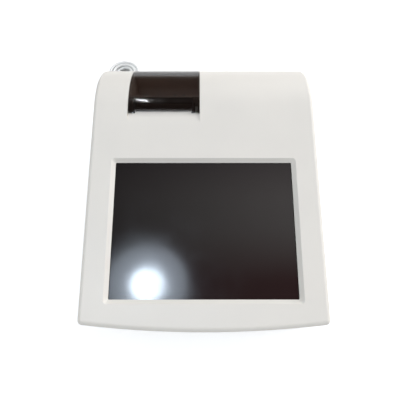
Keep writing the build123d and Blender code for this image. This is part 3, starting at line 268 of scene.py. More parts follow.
@dataclass(frozen=True)
class Metal:
    """Rolled, turned or plated metal with fine lines drawn out along its lay."""

    name: str
    colour: Colour
    tarnish: Colour
    roughness: float = 0.28
    lay: Lay = Lay.ALONG
    lines: float = 2200.0

    def material(self) -> bpy.types.Material:
        """Builds the finish.

        Returns:
            The material.
        """
        shade = Shade(self.name)
        shade.set(Metallic=1.0)
        shade.feed(shade.graded(shade.noise(40.0, 5.0), 0.4, 0.75, self.colour, self.tarnish), "Base Color")
        fine = shade.noise(self.lines, 3.0, self.lay)
        shade.feed(shade.graded(fine, 0.25, 0.75, self.roughness - 0.08, self.roughness + 0.12), "Roughness")
        shade.raise_by((fine, 0.12, 0.00005))
        return shade.material


@dataclass(frozen=True)
class SmokedPlastic:
    """Clear plastic tinted dark, polished, with faint flow marks; what lies behind it shows through."""

    name: str
    colour: Colour
    cover: float
    roughness: float = 0.06

    def material(self) -> bpy.types.Material:
        """Builds the finish.

        Returns:
            The material.
        """
        shade = Shade(self.name)
        shade.set(IOR=1.5, Alpha=self.cover)
        tone = tuple(1.3 * c for c in self.colour)
        shade.feed(shade.graded(shade.noise(25.0, 3.0), 0.35, 0.7, self.colour, tone), "Base Color")
        haze = shade.noise(120.0, 5.0)
        shade.feed(shade.graded(haze, 0.4, 0.8, self.roughness, self.roughness + 0.07), "Roughness")
        shade.raise_by((shade.noise(30.0, 2.0), 0.05, 0.0003))
        return shade.material


@dataclass(frozen=True)
class PanelGlass:
    """The touch panel: black under clear glass, with dust and faint finger marks in its gloss."""

    name: str
    colour: Colour
    edge: Colour
    roughness: float = 0.10

    def material(self) -> bpy.types.Material:
        """Builds the finish.

        Returns:
            The material.
        """
        shade = Shade(self.name)
        shade.set(IOR=1.5)
        shade.feed(shade.graded(shade.noise(7.0, 2.0), 0.3, 0.75, self.colour, self.edge), "Base Color")
        smears = shade.noise(28.0, 5.0)
        shade.feed(shade.graded(smears, 0.45, 0.8, self.roughness, self.roughness + 0.06), "Roughness")
        shade.raise_by((shade.noise(12.0, 1.0), 0.02, 0.0002))
        return shade.material


@dataclass(frozen=True)
class ClearPart:
    """Glass or clear plastic of a small optical piece."""

    name: str
    colour: Colour
    cover: float
    roughness: float = 0.03

    def material(self) -> bpy.types.Material:
        """Builds the finish.

        Returns:
            The material.
        """
        shade = Shade(self.name)
        shade.set(IOR=1.52, Alpha=self.cover, Coat_Weight=0.4)
        rim = tuple(0.8 * c for c in self.colour)
        shade.feed(shade.graded(shade.noise(180.0, 2.0), 0.3, 0.8, rim, self.colour), "Base Color")
        haze = shade.noise(400.0, 2.0)
        shade.feed(shade.graded(haze, 0.3, 0.8, self.roughness, self.roughness + 0.04), "Roughness")
        return shade.material


@dataclass(frozen=True)
class CircuitBoard:
    """Solder mask over copper tracks, with the tracks a little raised and paler."""

    name: str
    colour: Colour
    track: Colour

    def material(self) -> bpy.types.Material:
        """Builds the finish.

        Returns:
            The material.
        """
        shade = Shade(self.name)
        shade.set(IOR=1.5, Roughness=0.3)
        brick = shade.tree.nodes.new("ShaderNodeTexBrick")
        shade.tree.links.new(shade.place, brick.inputs["Vector"])
        for socket, value in (("Scale", 260.0), ("Mortar Size", 0.035), ("Mortar Smooth", 0.3)):
            brick.inputs[socket].default_value = value
        brick.inputs["Color1"].default_value = (*self.colour, 1.0)
        brick.inputs["Color2"].default_value = (*(0.8 * c for c in self.colour), 1.0)
        brick.inputs["Mortar"].default_value = (*self.track, 1.0)
        shade.feed(brick.outputs["Color"], "Base Color")
        shade.raise_by((brick.outputs["Fac"], 0.2, 0.00004))
        return shade.material


@dataclass(frozen=True)
class StripedFilm:
    """Amber film with copper conductors side by side."""

    name: str
    film: Colour
    copper: Colour
    axis: str = "X"

    def material(self) -> bpy.types.Material:
        """Builds the finish.

        Returns:
            The material.
        """
        shade = Shade(self.name)
        shade.set(Roughness=0.32, IOR=1.5)
        stripes = shade.bands(310.0, self.axis)
        shade.feed(shade.graded(stripes, 0.42, 0.58, self.film, self.copper), "Base Color")
        shade.raise_by((stripes, 0.2, 0.00004))
        return shade.material


@dataclass(frozen=True)
class WovenTape:
    """Soft hook-and-loop tape with its short pile."""

    name: str
    colour: Colour
    pile: Colour

    def material(self) -> bpy.types.Material:
        """Builds the finish.

        Returns:
            The material.
        """
        shade = Shade(self.name)
        shade.set(Roughness=0.95, Sheen_Weight=0.4, Sheen_Roughness=0.5)
        weave = shade.cells(1500.0)
        shade.feed(shade.graded(weave, 0.2, 0.7, self.colour, self.pile), "Base Color")
        shade.raise_by((weave, 0.5, 0.00015))
        return shade.material


Finish = (MouldedPlastic | Rubber | Metal | SmokedPlastic | PanelGlass | ClearPart | CircuitBoard
          | StripedFilm | WovenTape)


class Paint:
    """The finishes already made, so that pieces of one finish share one material."""

    made: dict[str, bpy.types.Material] = {}

    @classmethod
    def of(cls, finish: Finish) -> bpy.types.Material:
        """The material of a finish, made at its first use.

        Args:
            finish: The finish.

        Returns:
            The material.
        """
        if finish.name not in cls.made:
            cls.made[finish.name] = finish.material()
        return cls.made[finish.name]


CASE_WHITE = MouldedPlastic("case_white", (0.815, 0.774, 0.716), (0.785, 0.747, 0.694), 0.44)
DRAWER_WHITE = MouldedPlastic("drawer_white", (0.79, 0.79, 0.765), (0.76, 0.76, 0.74), 0.46)
PANEL_GREY = MouldedPlastic("panel_grey", (0.50, 0.505, 0.50), (0.46, 0.465, 0.46), 0.55, 1800.0, 0.16)
LID_SMOKE = SmokedPlastic("lid_smoke", (0.007, 0.004, 0.003), 0.50)
SCREEN_GLASS = PanelGlass("screen_glass", (0.007, 0.006, 0.006), (0.011, 0.008, 0.008))
FOAM_BLACK = Rubber("foam_black", (0.012, 0.012, 0.012), (0.03, 0.03, 0.03))
BLACK_PLASTIC = MouldedPlastic("black_plastic", (0.018, 0.018, 0.019), (0.012, 0.012, 0.013), 0.5, 1600.0,
                               0.18)
SWITCH_BLACK = MouldedPlastic("switch_black", (0.014, 0.014, 0.015), (0.009, 0.009, 0.010), 0.3, 3000.0,
                              0.05, 0.3)
GUIDE_GREY = MouldedPlastic("guide_grey", (0.42, 0.41, 0.38), (0.37, 0.36, 0.34), 0.5)
BUCKET_BROWN = MouldedPlastic("bucket_brown", (0.72, 0.55, 0.46), (0.62, 0.48, 0.40), 0.5)
FOOT_RUBBER = Rubber("foot_rubber", (0.03, 0.03, 0.03), (0.09, 0.088, 0.085))
PLATEN_RUBBER = Rubber("platen_rubber", (0.02, 0.02, 0.02), (0.05, 0.05, 0.05), 0.7, 1500.0)
STEEL = Metal("sheet_steel", (0.62, 0.62, 0.63), (0.50, 0.50, 0.50))
TURNED_STEEL = Metal("turned_steel", (0.66, 0.66, 0.67), (0.55, 0.55, 0.55), 0.2, Lay.ACROSS)
SCREW_ZINC = Metal("zinc_plate", (0.60, 0.61, 0.63), (0.48, 0.49, 0.50), 0.33, Lay.EVEN, 1200.0)
ALUMINIUM = Metal("aluminium", (0.72, 0.72, 0.73), (0.62, 0.62, 0.63), 0.32)
BRONZE = Metal("sintered_bronze", (0.50, 0.33, 0.16), (0.36, 0.24, 0.12), 0.42, Lay.EVEN, 3000.0)
PORT_PLATE = Metal("port_plate", (0.70, 0.70, 0.71), (0.60, 0.60, 0.61), 0.22)
CONTACT_GOLD = Metal("contact_gold", (0.85, 0.62, 0.26), (0.75, 0.52, 0.22), 0.2)
MOTOR_GREY = MouldedPlastic("motor_enamel", (0.09, 0.095, 0.10), (0.07, 0.075, 0.08), 0.35, 900.0, 0.1, 0.4)
CERAMIC = MouldedPlastic("head_ceramic", (0.20, 0.17, 0.14), (0.15, 0.13, 0.11), 0.22, 400.0, 0.04, 0.5)
GEAR_NYLON = MouldedPlastic("gear_nylon", (0.74, 0.72, 0.64), (0.68, 0.66, 0.58), 0.38, 700.0, 0.05)
LENS_GLASS = ClearPart("lens_glass", (0.75, 0.85, 0.88), 0.35)
FILTER_RED = ClearPart("filter_red", (0.35, 0.02, 0.015), 0.8)
LED_CLEAR = ClearPart("led_clear", (0.35, 0.5, 0.75), 0.7)
BOARD_GREEN = CircuitBoard("board_green", (0.012, 0.09, 0.035), (0.03, 0.17, 0.07))
CHIP_BLACK = MouldedPlastic("chip_epoxy", (0.02, 0.02, 0.021), (0.014, 0.014, 0.015), 0.6, 1400.0, 0.2)
RIBBON_FILM = StripedFilm("ribbon_film", (0.42, 0.16, 0.03), (0.62, 0.30, 0.10))
LEAD_WHITE = MouldedPlastic("lead_jacket", (0.87, 0.87, 0.86), (0.82, 0.82, 0.81), 0.38, 900.0, 0.04)
TIE_WHITE = WovenTape("tie_tape", (0.62, 0.62, 0.61), (0.78, 0.78, 0.77))
ADAPTER_WHITE = MouldedPlastic("adapter_shell", (0.76, 0.76, 0.75), (0.71, 0.71, 0.70), 0.4)
NICKEL = Metal("nickel_pins", (0.72, 0.71, 0.68), (0.62, 0.61, 0.58), 0.16, Lay.ALONG)


class Smoother:
    """Gives a carried-over solid soft shading over its rounds while its corners stay crisp."""

    crease = math.cos(math.radians(32.0))
    grid = 2e6
    least_length = 1e-14

    @classmethod
    def soften(cls, piece: bpy.types.Object) -> None:
        """Sets each corner's normal from the faces round it that nearly share its plane, weighted by area.

        Args:
            piece: A solid of the frame, whose mesh stays as it is.
        """
        mesh = piece.data
        mesh.update()
        around: dict[tuple[int, int, int], list[int]] = {}
        for face in mesh.polygons:
            for v in face.vertices:
                key = tuple(round(c * cls.grid) for c in mesh.vertices[v].co)
                around.setdefault(key, []).append(face.index)
        keys = [tuple(round(c * cls.grid) for c in v.co) for v in mesh.vertices]
        weighted = [(face.normal.copy(), face.normal * face.area) for face in mesh.polygons]
        normals = []
        for face in mesh.polygons:
            own = weighted[face.index][0]
            for v in face.vertices:
                total = Vector((0.0, 0.0, 0.0))
                for other in around[keys[v]]:
                    if own.dot(weighted[other][0]) > cls.crease:
                        total += weighted[other][1]
                normals.append(total.normalized() if total.length > cls.least_length else own)
        mesh.shade_smooth()
        mesh.normals_split_custom_set(normals)


@dataclass
class SubAssembly:
    """Shared calls of the sub-assemblies: dressing frame solids and adding new pieces to a body."""

    body: Body = Body.CASE

    def dress(self, finish: Finish, *names: str) -> None:
        """Gives frame solids a finish and soft shading.

        Args:
            finish: The finish.
            names: The solids' names.
        """
        for name in names:
            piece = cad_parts[name]
            piece.data.materials.clear()
            piece.data.materials.append(Paint.of(finish))
            if not piece.hide_render:
                Smoother.soften(piece)
            log.info("dressed %s in %s", name, finish.name)

    def add(self, bm: bmesh.types.BMesh, name: str, finish: Finish, slot: str = "",
            replaces: tuple[str, ...] = ()) -> bpy.types.Object:
        """Turns a finished bmesh into a piece that rides on a body.

        Args:
            bm: The piece's mesh, in place; it is freed here.
            name: The piece's name.
            finish: Its finish.
            slot: The record's material slot that it belongs to; not used.
            replaces: The frame solids that it stands for.

        Returns:
            The piece.
        """
        bmesh.ops.remove_doubles(bm, verts=bm.verts, dist=1e-6)
        bmesh.ops.recalc_face_normals(bm, faces=bm.faces)
        mesh = bpy.data.meshes.new(name)
        bm.to_mesh(mesh)
        bm.free()
        mesh.materials.append(Paint.of(finish))
        piece = bpy.data.objects.new(name, mesh)
        bpy.context.scene.collection.objects.link(piece)
        mesh.shade_smooth()
        mesh.set_sharp_from_angle(angle=math.radians(32.0))
        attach(piece, self.body.value)
        if replaces:
            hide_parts(*replaces)
        log.info("made %s with %d faces", name, len(mesh.polygons))
        return piece


def block(bm: bmesh.types.BMesh, low: Point, high: Point, bevel: float = 0.0) -> None:
    """Adds a box between two corners, with its edges rounded.

    Args:
        bm: The mesh that gets it.
        low: The lowest corner, in millimetres.
        high: The highest corner, in millimetres.
        bevel: The edges' radius, in millimetres.
    """
    centre = Vector([(a + b) / 2 * MM for a, b in zip(low, high)])
    size = Vector([(b - a) * MM for a, b in zip(low, high)])
    made = bmesh.ops.create_cube(bm, size=1.0)["verts"]
    bmesh.ops.scale(bm, vec=size, verts=made)
    bmesh.ops.translate(bm, vec=centre, verts=made)
    if bevel:
        edges = list({e for v in made for e in v.link_edges})
        bmesh.ops.bevel(bm, geom=edges, offset=bevel * MM, segments=2, profile=0.5, affect="EDGES",
                        material=-1)


def turned(bm: bmesh.types.BMesh, profile: list[tuple[float, float]], start: Point, way: Point,
           steps: int = 24) -> None:
    """Adds a turned shape: a profile spun about an axis.

    Args:
        bm: The mesh that gets it.
        profile: Distance along the axis and radius of each point, in millimetres.
        start: Where the axis begins, in millimetres.
        way: The axis's direction.
        steps: How many steps the turn has.
    """
    axis = Vector(way).normalized()
    aside = axis.orthogonal().normalized()
    origin = Vector(start) * MM
    verts = [bm.verts.new(origin + axis * (a * MM) + aside * (r * MM)) for a, r in profile]
    edges = [bm.edges.new(pair) for pair in zip(verts, verts[1:])]
    bmesh.ops.spin(bm, geom=verts + edges, cent=origin, axis=axis, angle=2 * math.pi, steps=steps,
                   use_merge=True, use_duplicate=False)


@dataclass
class Slanted:
    """The frame that follows the sloping deck: u runs up the slope and n out of it."""

    slope: float = math.radians(12.0)
    front_y: float = -112.459
    front_z: float = 66.0

    def block(self, bm: bmesh.types.BMesh, low: Point, high: Point, bevel: float = 0.0) -> None:
        """Adds a box that is square to the deck.

        Args:
            bm: The mesh that gets it.
            low: The lowest corner as x, u and n, in millimetres.
            high: The highest corner as x, u and n, in millimetres.
            bevel: The edges' radius, in millimetres.
        """
        before = set(bm.verts)
        block(bm, low, high, bevel)
        made = [v for v in bm.verts if v not in before]
        turn = Matrix.Rotation(self.slope, 4, "X")
        move = Matrix.Translation((0.0, self.front_y * MM, self.front_z * MM))
        bmesh.ops.transform(bm, matrix=move @ turn, verts=made)


@dataclass
class Housing(SubAssembly):
    """The case: its two shells, feet, screws and rear panel."""

    vent_centre: tuple[float, float] = (10.0, 40.0)
    vent_size: tuple[float, float] = (54.0, 16.0)
    vent_pitch: float = 1.6
    vent_wire: float = 0.3
    vent_thickness: float = 0.25
    panel_inside: float = 133.05

    def dress_all(self) -> None:
        """Dresses the case's solids."""
        self.dress(CASE_WHITE, "top_housing", "base_housing")
        self.dress(PANEL_GREY, "rear_panel")
        self.dress(FOOT_RUBBER, "rubber_feet")
        self.dress(SCREW_ZINC, "case_screws")

    def vent_screen(self) -> None:
        """Makes the dust screen behind the rear panel's vents."""
        bm = bmesh.new()
        across, up = (int(s / self.vent_pitch) for s in self.vent_size)
        bmesh.ops.create_grid(bm, x_segments=across, y_segments=up, size=0.5)
        bmesh.ops.scale(bm, vec=(self.vent_size[0] * MM, self.vent_size[1] * MM, 1.0), verts=bm.verts)
        bmesh.ops.rotate(bm, cent=(0, 0, 0), matrix=Matrix.Rotation(math.pi / 2, 3, "X"), verts=bm.verts)
        spot = Vector((self.vent_centre[0], self.panel_inside, self.vent_centre[1])) * MM
        bmesh.ops.translate(bm, vec=spot, verts=bm.verts)
        wires = set(bmesh.ops.inset_individual(bm, faces=bm.faces[:], thickness=self.vent_wire * MM)["faces"])
        bmesh.ops.delete(bm, geom=[f for f in bm.faces if f not in wires], context="FACES")
        bmesh.ops.solidify(bm, geom=bm.faces[:], thickness=self.vent_thickness * MM)
        self.add(bm, "vent_screen", BLACK_PLASTIC, slot="black_plastic")

    def build(self) -> None:
        """Builds and dresses the case."""
        self.dress_all()
        self.vent_screen()


@dataclass
class Display(SubAssembly):
    """The touch screen with its gasket, module, bracket and ribbon."""

    def build(self) -> None:
        """Dresses the screen's pieces."""
        self.dress(SCREEN_GLASS, "touch_panel")
        self.dress(FOAM_BLACK, "screen_gasket")
        self.dress(ALUMINIUM, "display_module")
        self.dress(STEEL, "display_bracket")
        self.dress(SCREW_ZINC, "display_screws")
        self.dress(RIBBON_FILM, "display_ribbon")


@dataclass
class Printer(SubAssembly):
    """The slip printer under its smoked lid."""

    deck: Slanted = field(default_factory=Slanted)
    guide_places: tuple[float, ...] = (-58.0, -28.5, -19.5)
    guide_width: float = 2.4
    guide_length: float = 4.0
    guide_reach: tuple[float, float] = (-30.0, -8.0)
    guide_round: float = 0.5
    bucket_front: float = 196.6

    def dress_all(self) -> None:
        """Dresses the printer's solids."""
        self.dress(LID_SMOKE, "printer_lid")
        self.dress(TURNED_STEEL, "lid_hinge_pin", "platen_shaft", "idler_stud")
        self.dress(STEEL, "tear_bar", "head_leaf_spring")
        self.dress(BLACK_PLASTIC, "printer_frame", "platen_holder")
        self.dress(BUCKET_BROWN, "paper_bucket")
        self.dress(BRONZE, "platen_bushes")
        self.dress(PLATEN_RUBBER, "platen_roller")
        self.dress(GEAR_NYLON, "platen_gear", "idler_gear", "feed_pinion")
        self.dress(CERAMIC, "print_head")
        self.dress(ALUMINIUM, "head_heat_sink")
        self.dress(MOTOR_GREY, "printer_motor")
        self.dress(SCREW_ZINC, "frame_screws")

    def guides(self) -> None:
        """Makes the pale paper guides that stand in the bucket."""
        bm = bmesh.new()
        low, high = self.guide_reach
        for x in self.guide_places:
            self.deck.block(bm, (x - self.guide_width / 2, self.bucket_front, low),
                            (x + self.guide_width / 2, self.bucket_front + self.guide_length, high),
                            self.guide_round)
        self.add(bm, "paper_guides", GUIDE_GREY)

    def build(self) -> None:
        """Builds and dresses the printer."""
        self.dress_all()
        self.guides()


@dataclass
class Reader(SubAssembly):
    """The cartridge reader with its drawer."""

    def build(self) -> None:
        """Dresses the reader's solids."""
        self.dress(DRAWER_WHITE, "cartridge_tray")
        self.dress(STEEL, "reader_chassis")
        self.dress(SCREW_ZINC, "chassis_screws")
        self.dress(BLACK_PLASTIC, "optics_block", "home_sensor")
        self.dress(MOTOR_GREY, "tray_motor")
        self.dress(GEAR_NYLON, "tray_pinion")
        self.dress(LENS_GLASS, "objective_lens")
        self.dress(FILTER_RED, "emission_filter")
        self.dress(LED_CLEAR, "excitation_led")
        self.dress(BOARD_GREEN, "detector_board")


@dataclass(frozen=True)
class ContactRow:
    """A row of contacts under a socket's tongue, in millimetres."""

    count: int
    pitch: float
    width: float
    height: float
    setback: float
    bevel: float


@dataclass
class Electronics(SubAssembly):
    """The main board with its parts and sockets, the speaker and the mains switch."""

    usb_places: tuple[float, ...] = (-32.0, -13.0)
    network_place: float = -52.0
    board_top: float = 14.6
    socket_face: float = 135.69
    contact_back: float = 10.0
    contact_thickness: float = 0.25
    usb_row: ContactRow = ContactRow(4, 2.4, 1.0, 3.6, 1.6, 0.06)
    network_row: ContactRow = ContactRow(8, 1.0, 0.44, 11.1, 2.0, 0.05)

    def dress_all(self) -> None:
        """Dresses the boards and sockets."""
        self.dress(BOARD_GREEN, "main_board")
        self.dress(CHIP_BLACK, "board_parts")
        self.dress(SCREW_ZINC, "board_screws")
        self.dress(PORT_PLATE, "usb_ports", "network_port")
        self.dress(BLACK_PLASTIC, "power_jack", "speaker")
        self.dress(SWITCH_BLACK, "switch_body", "power_rocker")

    def contact_row(self, bm: bmesh.types.BMesh, centre: float, row: ContactRow) -> None:
        """Adds one socket's contacts.

        Args:
            bm: The mesh that gets them.
            centre: The socket's middle across the panel, in millimetres.
            row: The row's sizes.
        """
        under = self.board_top + row.height
        for k in range(row.count):
            x = centre + (k - (row.count - 1) / 2) * row.pitch
            low = (x - row.width / 2, self.socket_face - self.contact_back, under - self.contact_thickness)
            high = (x + row.width / 2, self.socket_face - row.setback, under)
            block(bm, low, high, row.bevel)

    def contacts(self) -> None:
        """Makes the gilt contacts on the sockets' tongues."""
        bm = bmesh.new()
        for centre in self.usb_places:
            self.contact_row(bm, centre, self.usb_row)
        self.contact_row(bm, self.network_place, self.network_row)
        self.add(bm, "socket_contacts", CONTACT_GOLD)

    def build(self) -> None:
        """Builds and dresses the electronics."""
        self.dress_all()
        self.contacts()


@dataclass
class PowerLead(SubAssembly):
    """The low-voltage lead: plug, coil, tie and wall adapter."""

    thickness: float = 3.5
    length: float = 1080.0
    jack: tuple[float, float] = (-70.0, 20.1)
    leaves_at: float = 159.65
    plug_end: float = 147.99
    coil_centre: tuple[float, float] = (-106.0, 198.99)
    coil_radius: float = 20.0
    pitch: float = 4.6
    layers: int = 4
    layer_turns: float = 2.0
    climb_turns: float = 0.5
    last_turns: float = 2.25
    floor_gap: float = 2.37
    steps_per_turn: int = 16
    adapter: Point = (4.0, 158.29, 9.0)
    relief_length: float = 12.0
    relief_radii: tuple[float, float, float] = (3.2, 2.25, 1.7)
    relief_taper: float = 0.9
    ring_count: int = 6
    ring_start: float = 0.9
    ring_spare: float = 1.6
    ring_groove: tuple[tuple[float, float], ...] = ((0.0, 0.0), (0.3, 0.5), (0.8, 0.5), (1.1, 0.05))

    @property
    def coil_top(self) -> float:
        """The height of the coil's highest layer, in millimetres."""
        return self.floor_gap + (self.layers - 1) * self.pitch

    def coil_point(self, turns: float) -> Point:
        """A point of the coil's centre line.

        Args:
            turns: How far round it is, in turns from where the lead comes in at the top.

        Returns:
            The point, in millimetres.
        """
        stage = self.layer_turns + self.climb_turns
        layer = min(int(turns / stage), self.layers - 1)
        along = turns - layer * stage
        last = layer == self.layers - 1
        wound = along if last else min(along, self.layer_turns)
        inner = self.coil_radius - self.layer_turns * self.pitch
        radius = self.coil_radius - wound * self.pitch if layer % 2 == 0 else inner + wound * self.pitch
        climb = 0.0 if last else max(0.0, along - self.layer_turns) / self.climb_turns
        z = self.coil_top - (layer + (1 - math.cos(math.pi * climb)) / 2) * self.pitch
        angle = 2 * math.pi * turns
        x, y = self.coil_centre
        return (x + radius * math.cos(angle), y + radius * math.sin(angle), z)

    def route(self) -> list[Point]:
        """The lead's control points from the plug, round the coil and on to the adapter.

        Returns:
            The points, in millimetres.
        """
        entry = self.coil_centre[0] + self.coil_radius
        jack_x, jack_z = self.jack
        out = [(jack_x, self.leaves_at, jack_z), (jack_x, 167.25, jack_z), (-73.8, 174.45, 19.6),
               (-82.0, 181.65, 18.0), (entry, 188.65, self.coil_top)]
        turns = (self.layers - 1) * (self.layer_turns + self.climb_turns) + self.last_turns
        steps = round(turns * self.steps_per_turn)
        coil = [self.coil_point(k / self.steps_per_turn) for k in range(steps + 1)]
        end = coil[-1]
        x, y, z = self.adapter
        tail = [(-91.0, end[1], end[2]), (-79.0, 174.85, 2.2), (-67.0, 169.85, 2.2), (-55.0, 164.65, 2.2),
                (-43.0, 160.65, 3.0), (-31.0, 158.85, 6.4), (x - 24.0, y, z), (x - 10.0, y, z)]
        return out + coil + tail

    def strand(self) -> bpy.types.Object:
        """Makes the lead itself as one smooth line.

        Returns:
            The lead.
        """
        points = self.route()
        curve = bpy.data.curves.new("power_lead", "CURVE")
        curve.dimensions = "3D"
        curve.bevel_depth = self.thickness / 2 * MM
        curve.bevel_resolution = 5
        curve.resolution_u = 3
        curve.use_fill_caps = True
        spline = curve.splines.new("NURBS")
        spline.points.add(len(points) - 1)
        for knot, place in zip(spline.points, points):
            knot.co = (*(c * MM for c in place), 1.0)
        spline.order_u = 3
        spline.use_endpoint_u = True
        curve.materials.append(Paint.of(LEAD_WHITE))
        piece = bpy.data.objects.new("power_lead", curve)
        bpy.context.scene.collection.objects.link(piece)
        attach(piece, self.body.value)
        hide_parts("lead_run", "lead_coil", "lead_tail")
        return piece

    def relief(self, start: Point, way: Point, name: str, node: str) -> bpy.types.Object:
        """Makes a tapered strain relief with rings.

        Args:
            start: Where it begins, in millimetres.
            way: The way it points.
            name: The piece's name.
            node: The frame solid that it stands for.

        Returns:
            The piece.
        """
        bm = bmesh.new()
        wide, narrow, bore = self.relief_radii
        profile = [(0.0, bore), (0.0, wide)]
        for k in range(self.ring_count):
            along = self.ring_start + k * (self.relief_length - self.ring_spare) / self.ring_count
            radius = wide - self.relief_taper * along / self.relief_length
            profile += [(along + step, radius - depth) for step, depth in self.ring_groove]
        profile += [(self.relief_length, narrow), (self.relief_length, bore)]
        turned(bm, profile, start, way)
        return self.add(bm, name, LEAD_WHITE, slot="lead_white", replaces=(node,))

    def build(self) -> None:
        """Builds the lead with what is on it."""
        self.dress(LEAD_WHITE, "lead_plug")
        self.dress(TIE_WHITE, "coil_tie")
        self.dress(ADAPTER_WHITE, "power_adapter")
        self.dress(NICKEL, "adapter_pins")
        for name in ("lead_run", "lead_coil", "lead_tail", "lead_relief", "adapter_relief"):
            self.dress(LEAD_WHITE, name)
        strand = self.strand()
        plug_end = (self.jack[0], self.plug_end, self.jack[1])
        at_jack = self.relief(plug_end, (0, 1, 0), "jack_relief_rings", "lead_relief")
        at_adapter = self.relief(self.adapter, (-1, 0, 0), "adapter_relief_rings", "adapter_relief")


@dataclass
class Studio:
    """The camera, the pale table and the soft light."""

    lens: float = 34.2
    eye: Point = (-0.0033, -0.18161, 0.39553)
    tilt: float = math.radians(26.54)
    room: float = 0.41
    room_colour: Colour = (0.98, 0.99, 1.0)
    table_half: float = 2.5
    table_tone: float = 0.72
    table_glow: float = 0.52
    horizon: tuple[float, float] = (0.0, 0.03)
    ceiling_reach: tuple[float, float] = (-0.3, 0.5)
    ceiling_aside: tuple[float, ...] = (-0.24, 0.24, 0.5, 2.2)
    ceiling_tones: tuple[tuple[float, Colour], ...] = (
        (0.00, (0.80, 0.80, 0.80)), (0.08, (0.15, 0.05, 0.05)), (0.18, (0.16, 0.055, 0.055)),
        (0.26, (0.35, 0.29, 0.28)), (0.33, (0.48, 0.45, 0.44)), (0.44, (0.54, 0.51, 0.50)),
        (0.57, (0.34, 0.30, 0.31)), (0.70, (0.11, 0.09, 0.08)))

    def camera(self) -> None:
        """Sets the camera where the photograph was taken from."""
        data = bpy.data.cameras.new("camera")
        data.lens = self.lens
        data.sensor_width = 36.0
        data.clip_start = 0.01
        camera = bpy.data.objects.new("camera", data)
        camera.location = self.eye
        camera.rotation_euler = (self.tilt, 0.0, 0.0)
        bpy.context.scene.collection.objects.link(camera)
        bpy.context.scene.camera = camera

    def backdrop(self) -> None:
        """Makes the world white to the eye, toned in reflections, and an even pale light elsewhere."""
        world = bpy.data.worlds.new("studio_room")
        bpy.context.scene.world = world
        world.use_nodes = True
        tree = world.node_tree
        tree.nodes.clear()
        out = tree.nodes.new("ShaderNodeOutputWorld")
        mix = tree.nodes.new("ShaderNodeMixShader")
        seen, light = tree.nodes.new("ShaderNodeBackground"), tree.nodes.new("ShaderNodeBackground")
        seen.inputs["Strength"].default_value = 1.0
        self.ceiling(tree, seen)
        light.inputs["Strength"].default_value = self.room
        light.inputs["Color"].default_value = (*self.room_colour, 1.0)
        tree.links.new(self.seen_rays(tree), mix.inputs["Fac"])
        tree.links.new(light.outputs["Background"], mix.inputs[1])
        tree.links.new(seen.outputs["Background"], mix.inputs[2])
        tree.links.new(mix.outputs["Shader"], out.inputs["Surface"])

    def ceiling(self, tree: bpy.types.NodeTree, seen: bpy.types.ShaderNodeBackground) -> None:
        """Keeps what is seen of the room white, and gives reflections a ceiling that browns to the front.

        Args:
            tree: The world's node tree.
            seen: The background that gets the colour.
        """
        place = tree.nodes.new("ShaderNodeTexCoord")
        parts = tree.nodes.new("ShaderNodeSeparateXYZ")
        tree.links.new(place.outputs["Generated"], parts.inputs["Vector"])
        depth = tree.nodes.new("ShaderNodeMapRange")
        depth.inputs["From Min"].default_value, depth.inputs["From Max"].default_value = self.ceiling_reach
        tree.links.new(parts.outputs["Y"], depth.inputs["Value"])
        tones = tree.nodes.new("ShaderNodeValToRGB")
        ramp = tones.color_ramp.elements
        while len(ramp) < len(self.ceiling_tones):
            ramp.new(0.5)
        for element, (spot, colour) in zip(ramp, self.ceiling_tones):
            element.position, element.color = spot, (*colour, 1.0)
        tree.links.new(depth.outputs["Result"], tones.inputs["Fac"])
        aside = tree.nodes.new("ShaderNodeMapRange")
        for socket, number in zip(("From Min", "From Max", "To Min", "To Max"), self.ceiling_aside):
            aside.inputs[socket].default_value = number
        tree.links.new(parts.outputs["X"], aside.inputs["Value"])
        lit = tree.nodes.new("ShaderNodeVectorMath")
        lit.operation = "SCALE"
        tree.links.new(tones.outputs["Color"], lit.inputs[0])
        tree.links.new(aside.outputs["Result"], lit.inputs["Scale"])
        height = tree.nodes.new("ShaderNodeMapRange")
        height.inputs["From Min"].default_value, height.inputs["From Max"].default_value = self.horizon
        tree.links.new(parts.outputs["Z"], height.inputs["Value"])
        over = tree.nodes.new("ShaderNodeMix")
        over.data_type = "RGBA"
        over.inputs[6].default_value = (1.0, 1.0, 1.0, 1.0)
        mirrored = tree.nodes.new("ShaderNodeMath")
        mirrored.operation = "MULTIPLY"
        tree.links.new(height.outputs["Result"], mirrored.inputs[0])
        tree.links.new(tree.nodes.new("ShaderNodeLightPath").outputs["Is Glossy Ray"], mirrored.inputs[1])
        tree.links.new(mirrored.outputs["Value"], over.inputs[0])
        tree.links.new(lit.outputs["Vector"], over.inputs[7])
        tree.links.new(over.outputs[2], seen.inputs["Color"])

    def seen_rays(self, tree: bpy.types.NodeTree) -> bpy.types.NodeSocket:
        """One where the camera, a reflection or a clear piece looks at the surface, and nought elsewhere.

        Args:
            tree: The node tree that gets the nodes.

        Returns:
            The value's socket.
        """
        path = tree.nodes.new("ShaderNodeLightPath")
        either = path.outputs["Is Camera Ray"]
        for ray in ("Is Glossy Ray", "Is Transmission Ray"):
            most = tree.nodes.new("ShaderNodeMath")
            most.operation = "MAXIMUM"
            tree.links.new(either, most.inputs[0])
            tree.links.new(path.outputs[ray], most.inputs[1])
            either = most.outputs["Value"]
        return either

